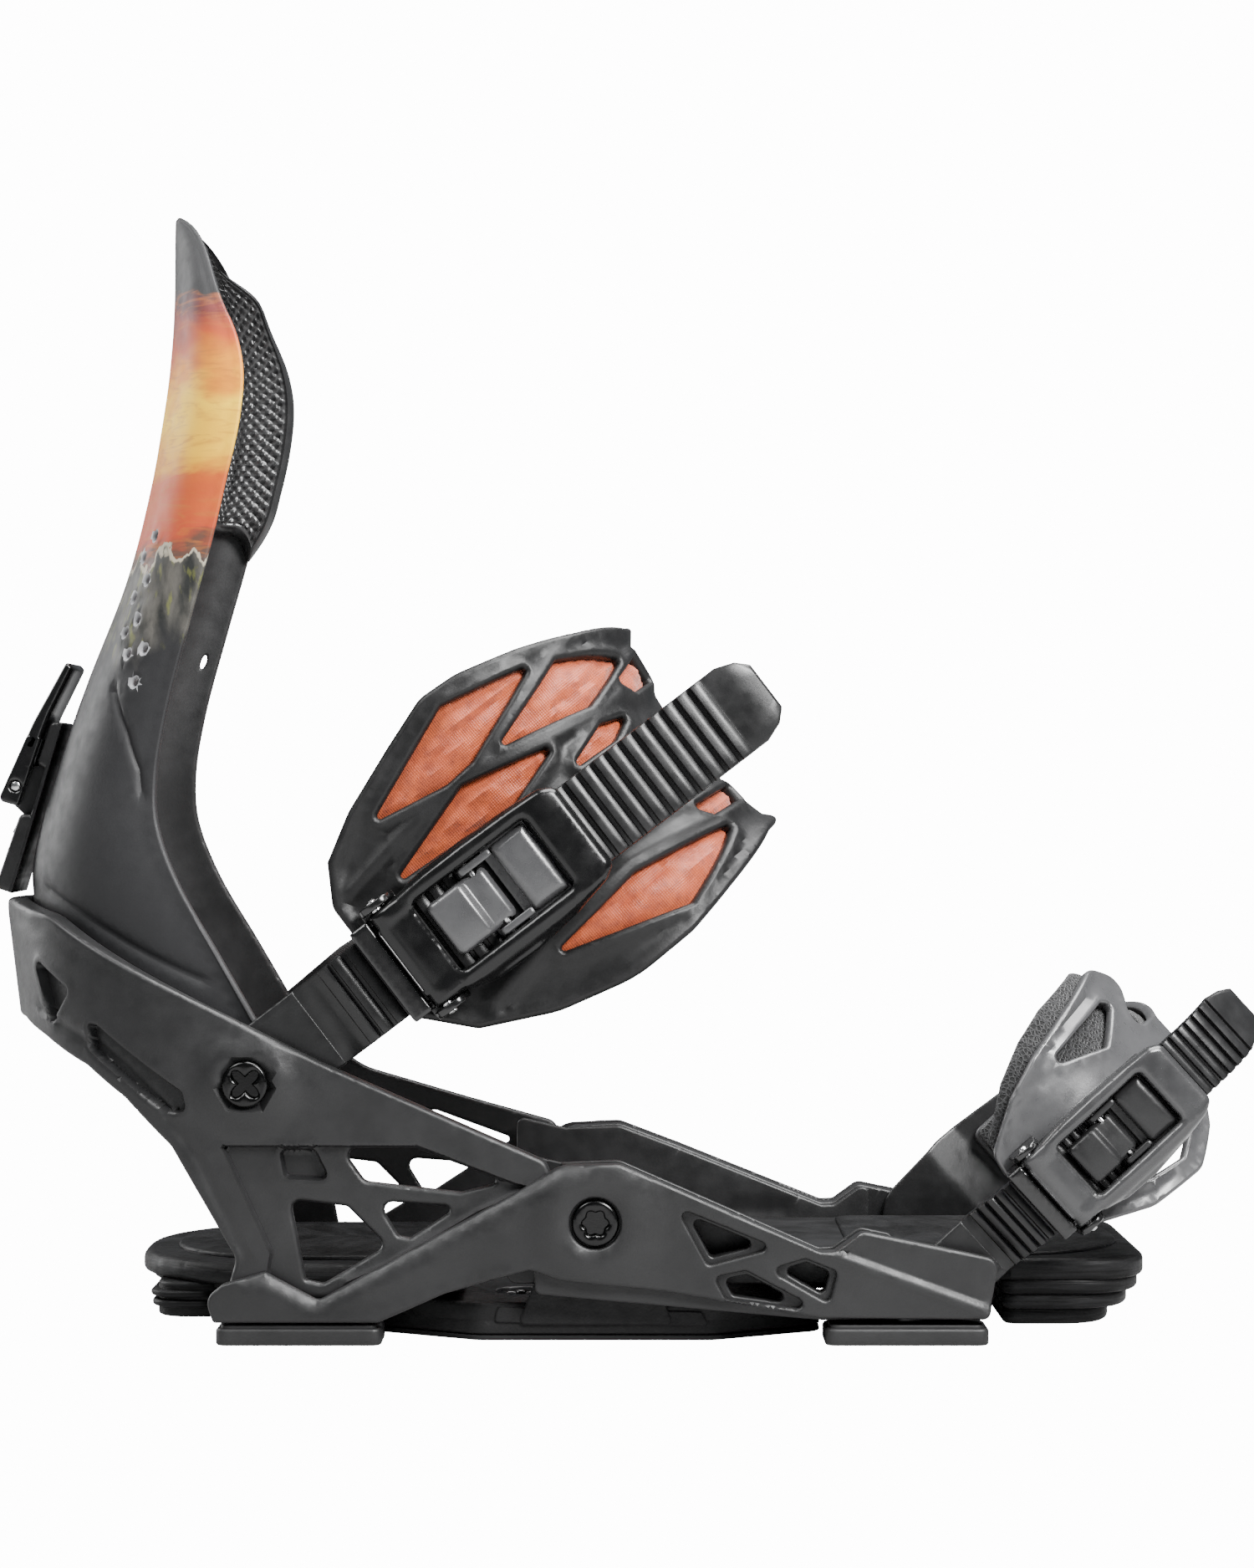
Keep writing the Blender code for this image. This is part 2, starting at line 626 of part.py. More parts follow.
def build_highback_pad(back):
    """The rubber cushion inside the top of the highback, which stands forward of its wings."""
    columns = 12
    shares = [0.96 * (2 * k / columns - 1) for k in range(columns + 1)]
    heights = [204, 212, 224, 238, 252, 264, 275, 284, 289]
    start = HIGHBACK_T + 2.5 * GAP
    outer, inner = [], []
    for height in heights:
        swell = math.sin(math.pi * min((height - 199) / 40, (294 - height) / 28, 0.5))
        rim = Vector((PAD_FORWARD * swell, 0, 0))
        back_row = [highback_point(share, height, start) for share in shares]
        front_row = [highback_point(share, height, start + 1.2 + 3.6 * swell) for share in shares]
        outer.append([back_row[0] + rim, *back_row, back_row[-1] + rim])
        inner.append([front_row[0] + rim, *front_row, front_row[-1] + rim])
    make("highback_pad", shell(outer, inner), "rubber", back)


LEAN = math.radians(16.6)  # slope of the spine behind the lean block
LEAN_FOOT = Vector((-154.6, 0, 113.6))  # where the block meets the heel cup's top edge
LEAN_BLOCK_LONG = 46.0
LEVER_PIN = (8.0, 26.5)  # the lever's pin: distance behind the spine and up the block


def build_lean_adjuster(frame):
    """The block that slides on the spine and rests on the heel cup, its lever and the lever's pin."""
    side = rounded([(0.5, -1), (5.4, -1, 1.5), (3.6, LEAN_BLOCK_LONG, 1.5), (0.5, LEAN_BLOCK_LONG, 1)])
    block = make("lean_block", slab([side], -12, 12, up=1), "nylon", frame, local=True)
    pocket = box((1.6, -13, 19.5), (8, 13, 34))
    combine(block, make("lean_pocket_cutter", pocket, "nylon", frame, local=True), "DIFFERENCE")
    for name, near in (("near", -7.0), ("far", 5.4)):
        lug = [(1, 18), (10.5, 23, 2.5), (10.5, 30, 2.5), (1, 35)]
        lug = slab([rounded(lug), circle(*LEVER_PIN, 1.2 + GAP, 10)], near, near + 1.6, up=1)
        combine(block, make(f"lean_lug_{name}_tool", lug, "nylon", frame, local=True), "UNION")
    pin = rod(8.6, 1.2, (LEVER_PIN[0], 0, LEVER_PIN[1]))
    make("lean_pin", pin, "steel", frame, local=True)
    outline = [(6.0, 23.5, 1), (11.6, 21.5, 2), (9.4, 40, 8), (4.6, 62, 1.5), (1.4, 60, 1), (4.6, 47)]
    outline += [(5.2, 38)]
    lever = slab([rounded(outline), circle(*LEVER_PIN, 1.2 + GAP, 10)], -11, 11, up=1)
    lever = make("lean_lever", lever, "nylon", frame, local=True)
    for near in (-7.0, 5.4):
        slot = box((0, near - GAP, 10), (20, near + 1.6 + GAP, 36))
        slot = make(f"lean_lever_slot_{int(near)}_cutter", slot, "nylon", frame, local=True)
        combine(lever, slot, "DIFFERENCE")


# ---------------------------------------------------------------- straps

# A strap has its own frame: X up along the strap from its bolts, Y across it, Z out to the lateral
# side. Its arch is straight up each side of the boot, then half an ellipse over the top.


class Strap:
    """The sizes of one strap."""

    def __init__(self, name, **sizes):
        self.name = name
        self.__dict__.update(sizes)

    def quarter(self):
        """Length of a quarter of the ellipse over the boot."""
        a, b = self.crest - self.shoulder, self.half
        h = ((a - b) / (a + b)) ** 2
        return math.pi / 4 * (a + b) * (1 + 3 * h / (10 + math.sqrt(4 - 3 * h)))

    def top(self):
        """Where the flat pattern crosses the middle of the boot."""
        return self.shoulder + self.quarter()

    def bend(self, point):
        """Wraps the flat pattern (s, across, out) over the boot. s runs from the lateral bolt up to
        the top and down to the medial bolt."""
        s, across, out = point
        side = 1.0 if s <= self.top() else -1.0
        s = min(s, 2 * self.top() - s)
        if s <= self.shoulder:
            return Vector((s, across, side * (self.half + out)))
        turn = (s - self.shoulder) / self.quarter() * math.pi / 2
        dip = self.dip * max(0.0, 1 - ((across - 3) / 32) ** 2)
        along = self.shoulder + (self.crest - dip - self.shoulder + out) * math.sin(turn)
        return Vector((along, across, side * (self.half + out) * math.cos(turn)))

    def pattern(self, lateral, medial, steps):
        """The whole outline from each side's, which run from the front of the bolt end to its back
        by way of the top. The medial one is turned over."""
        across = [(2 * self.top() - p[0], *p[1:]) for p in self.flat(medial)]
        front = [p for p in self.flat(lateral) if p[1] < 0]
        rear = [p for p in self.flat(lateral) if p[1] >= 0]
        far_front = [p for p in across if p[1] < 0]
        far_rear = [p for p in across if p[1] >= 0]
        return rounded(front + far_front[::-1] + far_rear[::-1] + rear, steps)

    def flat(self, corners):
        """Moves corners from the side view onto the flat pattern, past the shoulder."""
        moved = []
        for corner in corners:
            seen = corner[0]
            if seen > self.shoulder:
                share = min((seen - self.shoulder) / (self.crest - self.shoulder), 1.0)
                seen = self.shoulder + math.asin(share) / (math.pi / 2) * self.quarter()
            moved.append((seen, *corner[1:]))
        return moved


ANKLE = Strap(
    "ankle",
    slope=math.radians(37.4),
    origin=(ANKLE_X, 0, ANKLE_Z),
    half=53.0,
    shoulder=92.0,
    crest=149.0,
    dip=5.0,
    curl=5.0,
    shell_t=3.0,
    liner_t=4.2,
    ladder_half=11.5,
    pitch=4.4,
    tooth=1.4,
    rise=(23.5, 37.0),
    teeth=(31.0, 26),
    tip=166.0,
    eye_r=BOLT_R,
    eye_back=12.0,
    buckle=44.0,
    buckle_scale=1.0,
    screw_at=54.0,
    connector_half=12.0,
    connector=(26.0, 40.0, 77.0),
)
TOE = Strap(
    "toe",
    slope=math.radians(42.5),
    origin=(TOE_X, 0, TOE_Z),
    half=53.0,
    shoulder=44.0,
    crest=90.5,
    dip=0.0,
    curl=12.0,
    shell_t=2.6,
    liner_t=2.6,
    ladder_half=8.8,
    pitch=2.7,
    tooth=1.1,
    rise=(15.5, 28.0),
    teeth=(17.5, 28),
    tip=106.0,
    eye_r=2.4,
    eye_back=6.5,
    buckle=31.0,
    buckle_scale=0.8,
    screw_at=38.0,
    connector_half=12.0,
    connector=(19.5, 30.0, 56.0),
)
# Outlines in side view, (along the strap, across it): first the toe-side edge, then the other.
ANKLE_EDGE = [(44, -13, 3), (55, -25), (74, -34, 30), (95, -39, 40), (114, -38.5, 20), (129, -35.5)]
ANKLE_EDGE += [(146, -31, 20), (148, 35, 20), (137, 41), (122, 46.5), (105, 50.5), (94, 51, 10)]
ANKLE_EDGE += [(80, 46), (62, 39, 20), (50, 32), (44, 22, 6), (44, 12)]
ANKLE_WINDOWS = [
    [(67, 32.5), (86, 29.7), (95, 30.4), (119, 40.4), (97, 45)],
    [(105, 28.6), (130, 23.8), (141, 28.4), (127, 37)],
    [(66, 19.4), (99, 17.2), (113, 20.8), (89, 25.4)],
    [(83, -21.6), (113, -18.6), (138, -23.2), (118, -31.6)],
]
TOE_EDGE = [(32, -10, 2), (40, -16), (57, -22.4, 12), (70, -24.6, 10), (80, -22), (89, -15, 8)]
TOE_EDGE += [(89, 25, 6), (75, 29, 10), (63, 28.4), (57, 27), (45, 24), (32, 16, 6), (31, 10)]
TOE_MEDIAL_EDGE = [(32, -10, 2), (40, -16), (57, -22.4, 12), (70, -24.6, 10), (80, -22), (89, -15, 8)]
TOE_MEDIAL_EDGE += [(89, 22, 8), (80, 18, 10), (70, 14), (57, 10.5, 10), (44, 9), (32, 9, 3)]
TOE_WINDOWS = [
    [(56, 21.5), (80, 16.5), (84, 22)],
    [(60, -16.5), (70, -14.5), (80, -16.5), (69, -20.6)],
]


def strap_frame(strap, parent):
    c, s = math.cos(strap.slope), math.sin(strap.slope)
    turn = Matrix(((c, -s, 0), (0, 0, -1), (s, c, 0)))
    origin = Vector(strap.origin) - Vector((0, 0, KINGPIN_Z))
    return empty(f"{strap.name}_strap_axis", origin, parent, turn)


def wrap_stations(strap):
    """Where the flat pattern is cut so that it bends smoothly over the boot."""
    steps = 5
    first = [strap.shoulder + strap.quarter() * k / steps for k in range(steps + 1)]
    return first + [2 * strap.top() - s for s in first[:-1]]


def build_strap_pad(strap, edges, windows, finishes, frame):
    """The moulded shell, and the padded liner under it."""
    rim = strap.pattern(*edges, steps=2)
    holes = []
    for window in windows:
        corners = [(*p, 1.5) for p in strap.flat(window)]
        holes.append(rounded(corners, 1))
        if edges[0] is edges[1]:
            holes.append(rounded([(2 * strap.top() - p[0], p[1], 1.5) for p in corners], 1))
    cover = sliced(slab([rim, *holes], -strap.shell_t, 0), 0, wrap_stations(strap))
    make(f"{strap.name}_strap_shell", bent(cover, strap.bend), finishes[0], frame, local=True)
    high, top = -strap.shell_t - 2 * GAP, strap.top()
    inner = [Vector((top + (p[0] - top) * 0.985, p[1] * 0.95)) for p in strap.pattern(*edges, steps=1)]
    liner = sliced(slab([inner], high - strap.liner_t, high), 0, wrap_stations(strap))
    make(f"{strap.name}_strap_liner", bent(liner, strap.bend), finishes[1], frame, local=True)


def ladder_line(strap, s):
    """Distance out of the underside of the ladder: by its bolt, then out over the buckle."""
    low, high = EYE_IN, strap.half + strap_floor(strap)
    start, end = strap.rise
    t = min(max((s - start) / (end - start), 0.0), 1.0)
    free = strap.buckle + 60 * strap.buckle_scale + 3 * strap.pitch
    curl = strap.curl * (max(s - free, 0.0) / (strap.tip - free)) ** 2
    return low + (high - low) * t - curl


def strap_floor(strap):
    """Height over the shell at which the ladder runs through the buckle."""
    return GAP + 1.4 + GAP


def build_ladder(strap, frame):
    """The toothed strap: an eye on its bolt, a plain stretch, teeth, and a chamfered tip."""
    half, base = strap.ladder_half, EYE_OUT - EYE_IN - 0.3
    first, count = strap.teeth
    stations = [(-strap.eye_back, half * 0.45, base), (-strap.eye_back * 0.62, half * 0.88, base)]
    stations += [(0, half, base), (strap.rise[0], half, base), (first - 0.6, half, base)]
    for k in range(count):
        s = first + k * strap.pitch
        stations += [(s, half, base + strap.tooth), (s + strap.pitch * 0.6, half, base + strap.tooth)]
        stations += [(s + strap.pitch * 0.72, half, base), (s + strap.pitch * 0.94, half, base)]
    stations += [(strap.tip - 8, half, base + 0.6), (strap.tip, half * 0.62, base + 0.3)]
    top, under = [], []
    for s, width, thick in stations:
        line = ladder_line(strap, s)
        top.append([Vector((s, -width, line + thick)), Vector((s, width, line + thick))])
        under.append([Vector((s, -width, line)), Vector((s, width, line))])
    made = make(f"{strap.name}_ladder", shell(top, under), "rubber", frame, local=True, smooth=False)
    hole = rod(7, strap.eye_r + GAP, (0, 0, 47), (0, 0, 1))
    hole = make(f"{strap.name}_ladder_eye_cutter", hole, "nylon", frame, local=True)
    combine(made, hole, "DIFFERENCE")


def build_connector(strap, frame):
    """The medial strap end: an eye on its bolt, then out over the shell, with an adjusting slot."""
    low, high, end = strap.connector
    half, thick, r = strap.connector_half, 2.5, CONNECTOR_SCREW_R + GAP
    neck, eye = strap.ladder_half, strap.eye_back
    outline = [(-eye, -neck * 0.8, 6), (eye + 2, -neck, 6), (low + 8, -half, 6), (end, -half, 5)]
    outline += [(end, half - 1, 5), (low + 4, half + 2.4, 12), (2, half + 1, 12), (-eye, neck * 0.6, 3)]
    outline = rounded(outline, 2)
    start, stop = strap.screw_at - strap.pitch - r, strap.screw_at + 3 * strap.pitch + r
    slot = [(start, -r), (stop, -r), (stop, r), (start, r)]
    slot = rounded([(*corner, r * 0.9) for corner in slot], 3)
    hole = circle(0, 0, strap.eye_r + GAP, 12)
    flat = sliced(slab([outline, slot, hole], 0, thick), 0, [low, high])

    def bend(point):
        t = min(max((point[0] - low) / (high - low), 0.0), 1.0)
        line = EYE_IN + (strap.half + GAP - EYE_IN) * t
        return Vector((point[0], point[1], -(line + point[2])))

    make(f"{strap.name}_connector", bent(flat, bend), "nylon", frame, local=True)
    base = -(strap.half + GAP + thick + GAP)
    tip = base + thick + GAP + 0.2
    screw = [(base - 1.2, 0), (base - 1.2, 2.6), (base - 0.4, 4.4), (base, 4.4)]
    screw += [(base, CONNECTOR_SCREW_R), (tip, CONNECTOR_SCREW_R), (tip, 0)]
    screw = turned(screw, (strap.screw_at, 0, 0), (0, 0, 1), 14)
    make(f"{strap.name}_connector_screw", screw, "black_steel", frame, local=True)


class Buckle:
    """Places of a ratchet buckle's pieces, in its strap's frame. k scales the toe's smaller buckle."""

    def __init__(self, strap):
        self.k = strap.buckle_scale
        self.start = strap.buckle
        self.shell = strap.half + GAP
        self.inner = strap.ladder_half + GAP
        self.wall = self.inner + 2 * self.k
        self.ladder_top = strap.half + strap_floor(strap) + EYE_OUT - EYE_IN - 0.3 + strap.tooth

    def at(self, along):
        return self.start + along * self.k

    def up(self, over):
        """A height over the ladder's teeth."""
        return self.ladder_top + over * self.k


def buckle_box(buckle, along, across, up):
    """A box from spans: along the strap from the buckle's foot, across it, and over the teeth."""
    low = (buckle.at(along[0]), across[0], buckle.up(up[0]) if up[0] is not None else buckle.shell)
    high = (buckle.at(along[1]), across[1], buckle.up(up[1]))
    return box(low, high)


def build_buckle(strap, frame, lever_frame, release_frame):
    """Base, lever, drive pawl, release lever and their pins."""
    b, name = Buckle(strap), strap.name
    k = b.k
    pin_at, pin_up = PIVOT
    pin = (b.at(pin_at), 0, b.up(pin_up))
    release_at, release_up = RELEASE_PIVOT
    release = (b.at(release_at), 0, b.up(release_up))
    ear_in, ear_out = b.wall + 1.1 * k, b.wall + 3.1 * k
    rail_in, rail_out = b.wall - 3.2 * k, b.wall + 0.7 * k
    body = rail_in - 0.5 * k

    pin_hole = circle(pin[0], pin[2], 1.3 * k + GAP / 2, 12)

    def add(target, label, bm, operation="UNION"):
        kind = "tool" if operation == "UNION" else "cutter"
        made = make(f"{name}_{label}_{kind}", bm, "gloss_nylon", frame, local=True)
        return combine(target, made, operation)

    floor = box((b.at(0), -b.wall, b.shell), (b.at(58), b.wall, b.shell + 1.4))
    base = make(f"{name}_buckle_base", floor, "gloss_nylon", frame, local=True, smooth=False)
    for sign in (-1, 1):
        near, far = sorted((sign * b.inner, sign * (b.wall + 0.01)))
        add(base, f"guide_{sign}", buckle_box(b, (1, 57), (near, far), (None, 0.6)))
        near, far = sorted((sign * (b.wall - 0.5), sign * ear_out))
        foot = box((b.at(4.5), near, b.shell + 0.05), (b.at(15), far, b.shell + 1.9))
        add(base, f"ear_foot_{sign}", foot)
        near, far = sorted((sign * ear_in, sign * ear_out))
        ear = [(b.at(4.5), b.shell + 0.1), (b.at(15), b.shell + 0.1)]
        ear += [(b.at(14), b.up(6.4), 3.5 * k), (b.at(5.5), b.up(6.4), 3.5 * k)]
        add(base, f"ear_{sign}", slab([rounded(ear), pin_hole], near, far, up=1))
    add(base, "tunnel_roof", buckle_box(b, (0.1, 5.7), (-b.wall, b.wall), (1.0, 5.2)))
    for sign in (-1, 1):
        near, far = sorted((sign * b.inner, sign * (b.wall - 0.01)))
        add(base, f"tunnel_side_{sign}", buckle_box(b, (0.2, 5.6), (near, far), (0.2, 5)))
    add(base, "bridge", buckle_box(b, (38.6, 52), (-b.wall + 0.2, b.wall - 0.2), (0.35, 1.5)))
    add(base, "bridge_block", buckle_box(b, (40, 52), (-body, body), (0.9, 5.6)))
    for sign in (-1, 1):
        near, far = sorted((sign * (body - 2 * k), sign * body))
        add(base, f"finger_{sign}", buckle_box(b, (31, 41), (near, far), (0.8, 5.0)))
    add(base, "release_bore", rod(body + 5, k + GAP / 2, release), "DIFFERENCE")
    make(f"{name}_buckle_pin", rod(ear_out + 0.6, 1.3 * k, pin), "steel", frame, local=True)
    make(f"{name}_release_pin", rod(body, k - 0.1, release), "steel", frame, local=True)

    build_lever(b, name, frame, lever_frame, pin, rail_in, rail_out)
    build_release(b, name, frame, release_frame, release, body - 2 * k - GAP)


PIVOT = (9.5, 3.9)  # lever pin: along the buckle and over the teeth
RELEASE_PIVOT = (34.0, 2.9)
LEVER_LONG = 64.0


def build_lever(b, name, frame, lever_frame, pin, rail_in, rail_out):
    """The ratchet lever: two rails joined by a plate at the pivot and a grip at the free end."""
    k = b.k
    tip = LEVER_LONG
    side = [(6.8, 2.2), (9, 0.9), (16, 1.9), (tip - 4, 1.9), (tip, 3.4, 1), (tip - 1, 5.8, 2)]
    side += [(30, 7.6, 9), (14, 6.9, 4), (8, 6.8), (6.4, 5.2)]
    rail = rounded([(b.at(p[0]), b.up(p[1]), *(k * r for r in p[2:])) for p in side], 2)
    lever = None
    for sign in (-1, 1):
        near, far = sorted((sign * rail_in, sign * rail_out))
        solid = slab([rail, circle(pin[0], pin[2], 1.3 * k + GAP / 2, 12)], near, far, up=1)
        label = f"{name}_buckle_lever" if lever is None else f"{name}_lever_rail_tool"
        made = make(label, solid, "gloss_nylon", frame, local=True)
        lever = made if lever is None else combine(lever, made, "UNION")
    cover = buckle_box(b, (8.4, 17), (-rail_in - 0.5, rail_in + 0.5), (6.2, 7))
    combine(lever, make(f"{name}_lever_plate_tool", cover, "gloss_nylon", frame, local=True), "UNION")
    grip = buckle_box(b, (54, LEVER_LONG - 0.5), (-rail_in - 0.5, rail_in + 0.5), (2.6, 5.2))
    combine(lever, make(f"{name}_lever_grip_tool", grip, "gloss_nylon", frame, local=True), "UNION")
    pawl = [(6.5, 2.4), (12.8, 0.5), (13.6, 1.2), (13.2, 3.6), (11, 5.6), (8, 5.6), (6.6, 4.4)]
    pawl = [Vector((b.at(along), b.up(over))) for along, over in pawl]
    pawl = slab([pawl, circle(pin[0], pin[2], 1.3 * k + GAP / 2, 12)], -rail_in + 1, rail_in - 1, up=1)
    drive = make(f"{name}_drive_pawl", pawl, "steel", frame, local=True, smooth=False)
    for piece in (lever, drive):
        rehang(piece, lever_frame)


def build_release(b, name, frame, release_frame, pivot, half):
    """The release lever: a thumb block with a tooth under it."""
    k = b.k
    side = [(19.5, 1.6), (21, 0.5), (23, 0.9), (36.6, 0.9), (37.6, 2.4, 1.2), (36.4, 4.6, 1.5)]
    side += [(31, 5.2), (29.5, 7.2, 1.2), (19.5, 7.2, 1.2)]
    side = rounded([(b.at(p[0]), b.up(p[1]), *(k * r for r in p[2:])) for p in side])
    block = slab([side, circle(pivot[0], pivot[2], k + GAP / 2, 10)], -half, half, up=1)
    lever = make(f"{name}_release_lever", block, "release", frame, local=True, smooth=False)
    rehang(lever, release_frame)


def rehang(piece, frame):
    """Hangs a piece on its joint's own axis, where it stands."""
    bpy.context.view_layer.update()
    world = piece.matrix_world.copy()
    piece.parent = frame
    piece.matrix_parent_inverse = Matrix.Identity(4)
    piece.matrix_world = world


def build_strap(strap, edges, windows, finishes, hanger):
    frame = strap_frame(strap, hanger)
    b = Buckle(strap)
    lever_frame = empty(f"{strap.name}_lever_axis", (b.at(PIVOT[0]), 0, b.up(PIVOT[1])), frame)
    release = (b.at(RELEASE_PIVOT[0]), 0, b.up(RELEASE_PIVOT[1]))
    release_frame = empty(f"{strap.name}_release_axis", release, frame)
    build_strap_pad(strap, edges, windows, finishes, frame)
    build_ladder(strap, frame)
    build_connector(strap, frame)
    build_buckle(strap, frame, lever_frame, release_frame)


# ---------------------------------------------------------------- the whole binding


def main():
    clear_scene()
    base = empty("base_origin", (0, 0, 0))
    build_base(base)
    build_disc(base)
    build_kingpins(base)
    hanger = empty("kingpin_axis", (0, 0, KINGPIN_Z), base)
    build_chassis(hanger)
    build_heel_cup(hanger)
    build_ankle_fixings(hanger)
    build_toe_fixings(hanger)
    build_footbed(hanger)
    build_bushings(hanger)
    back = empty("ankle_axis", (ANKLE_X, 0, ANKLE_Z - KINGPIN_Z), hanger)
    build_highback(back)
    build_highback_pad(back)
    c, s = math.cos(LEAN), math.sin(LEAN)
    turn = Matrix(((-c, 0, s), (0, -1, 0), (s, 0, c)))
    lean = LEAN_FOOT - Vector((ANKLE_X, 0, ANKLE_Z))
    build_lean_adjuster(empty("lean_axis", lean, back, turn))
    ankle_edges = (ANKLE_EDGE, ANKLE_EDGE)
    toe_edges = (TOE_EDGE, TOE_MEDIAL_EDGE)
    build_strap(ANKLE, ankle_edges, ANKLE_WINDOWS, ("strap_shell", "strap_liner"), hanger)
    build_strap(TOE, toe_edges, TOE_WINDOWS, ("toe_shell", "mesh_liner"), hanger)


main()
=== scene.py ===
"""Visual model of a strap snowboard binding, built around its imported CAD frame.

+X points to the toe, -Y to the outer (lateral) side with the buckles, +Z up from the board. Shapes
are worked out in millimetres and scaled when their mesh is made.
"""

import math

import bpy
import numpy as np
from mathutils import Matrix, Vector
from mathutils.geometry import delaunay_2d_cdt

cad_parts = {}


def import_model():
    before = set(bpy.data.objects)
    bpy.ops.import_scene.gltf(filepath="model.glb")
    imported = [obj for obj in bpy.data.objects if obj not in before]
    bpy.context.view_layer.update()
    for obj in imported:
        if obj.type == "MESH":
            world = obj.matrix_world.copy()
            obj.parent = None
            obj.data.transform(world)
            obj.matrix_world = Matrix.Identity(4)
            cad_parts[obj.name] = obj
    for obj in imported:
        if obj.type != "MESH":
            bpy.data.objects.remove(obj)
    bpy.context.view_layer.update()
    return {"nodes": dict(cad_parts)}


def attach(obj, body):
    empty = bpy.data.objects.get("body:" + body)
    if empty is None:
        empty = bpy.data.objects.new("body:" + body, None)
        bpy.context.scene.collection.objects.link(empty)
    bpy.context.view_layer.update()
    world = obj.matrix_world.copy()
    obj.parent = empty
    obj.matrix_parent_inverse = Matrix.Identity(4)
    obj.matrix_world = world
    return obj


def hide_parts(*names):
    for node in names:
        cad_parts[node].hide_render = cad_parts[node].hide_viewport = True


MM = 0.001
SIDES = {"lateral": -1.0, "medial": 1.0}

# ---------------------------------------------------------------- outlines and distances


def rounded(corners, steps=4):
    """An outline from (a, b) or (a, b, radius) corners, with an arc of that radius at a corner."""
    points = []
    for i, corner in enumerate(corners):
        here = Vector(corner[:2])
        if len(corner) < 3:
            points.append(here)
            continue
        before = Vector(corners[i - 1][:2]) - here
        after = Vector(corners[(i + 1) % len(corners)][:2]) - here
        half = before.angle(after) / 2
        cut = min(corner[2] / math.tan(half), 0.48 * before.length, 0.48 * after.length)
        start = here + before.normalized() * cut
        centre = here + (before.normalized() + after.normalized()).normalized() * (cut / math.cos(half))
        sweep = math.copysign(math.pi - 2 * half, before.y * after.x - before.x * after.y)
        for k in range(steps + 1):
            points.append(centre + Matrix.Rotation(sweep * k / steps, 2) @ (start - centre))
    return np.array([tuple(p) for p in points])


def softened(corners, radius=1.5, steps=4):
    """An outline with the same radius at every corner that states none."""
    return rounded([c if len(c) > 2 else (*c, radius) for c in corners], steps)


def circle(a, b, radius, sides=40):
    turn = np.linspace(0, 2 * np.pi, sides, endpoint=False)
    return np.stack([a + radius * np.cos(turn), b + radius * np.sin(turn)], 1)


def resampled(loop, step):
    """The closed loop with extra points, so that no side is longer than step."""
    points = []
    for a, b in zip(loop, np.roll(loop, -1, 0)):
        count = max(1, math.ceil(np.linalg.norm(b - a) / step))
        points += [a + (b - a) * k / count for k in range(count)]
    return np.array(points)


def segment_distance(points, starts, ends):
    """Distance from each point to the nearest of the segments."""
    best = np.full(len(points), 1e9)
    for a, b in zip(starts, ends):
        along = b - a
        t = np.clip((points - a) @ along / max(along @ along, 1e-12), 0, 1)
        gap = points - a - t[:, None] * along
        best = np.minimum(best, np.einsum("ij,ij->i", gap, gap))
    return np.sqrt(best)


def loop_distance(points, loops):
    starts = np.concatenate(loops)
    ends = np.concatenate([np.roll(loop, -1, 0) for loop in loops])
    return segment_distance(points, starts, ends)


def line_distance(points, line):
    line = np.array(line, float)
    return segment_distance(points, line[:-1], line[1:])


def inside(points, loops):
    """Whether each point is inside the outline and outside its holes."""
    odd = np.zeros(len(points), bool)
    for loop in loops:
        for a, b in zip(loop, np.roll(loop, -1, 0)):
            if a[1] == b[1]:
                continue
            spans = (a[1] > points[:, 1]) != (b[1] > points[:, 1])
            odd ^= spans & (points[:, 0] < (b[0] - a[0]) * (points[:, 1] - a[1]) / (b[1] - a[1]) + a[0])
    return odd


def signed(points, loop):
    """Distance to the loop, positive inside it."""
    gap = loop_distance(points, [loop])
    return np.where(inside(points, [loop]), gap, -gap)


def smooth(t):
    t = np.clip(t, 0, 1)
    return t * t * (3 - 2 * t)


def bump(distance, width):
    """1 on a line, fading to 0 about width away from it."""
    return np.exp(-((distance / width) ** 2))


def curve_through(pairs, at):
    """Smooth value of a curve through (position, value) pairs in rising order."""
    x = np.array([p[0] for p in pairs], float)
    y = np.array([p[1] for p in pairs], float)
    slope = np.diff(y) / np.diff(x)
    lean = np.concatenate([[slope[0]], (slope[1:] + slope[:-1]) / 2, [slope[-1]]])
    at = np.clip(at, x[0], x[-1])
    i = np.clip(np.searchsorted(x, at) - 1, 0, len(x) - 2)
    h = x[i + 1] - x[i]
    t = (at - x[i]) / h
    return (
        (1 + 2 * t) * (1 - t) ** 2 * y[i]
        + t * (1 - t) ** 2 * h * lean[i]
        + t * t * (3 - 2 * t) * y[i + 1]
        + t * t * (t - 1) * h * lean[i + 1]
    )


# ---------------------------------------------------------------- meshes


ROW_SPACING = 0.866  # height of a triangle whose sides are 1
LINE_STEP = 1.2  # spacing of the points along a feature line
LINE_ROOM = 2.1  # the even grid stops this near a feature line


def rim_points(loops, wide):
    """Points just inside each rim, where its rounding needs them."""
    found = []
    for loop in loops:
        along = np.roll(loop, -1, 0) - np.roll(loop, 1, 0)
        normal = np.stack([-along[:, 1], along[:, 0]], 1)
        normal /= np.maximum(np.linalg.norm(normal, axis=1, keepdims=True), 1e-9)
        for share in (0.1, 0.36, 0.7, 1.0):
            reach = share * wide
            for side in (1, -1):
                near = loop + side * reach * normal
                near = near[inside(near, loops)]
                found.append(near[loop_distance(near, loops) > 0.93 * reach])
    return found


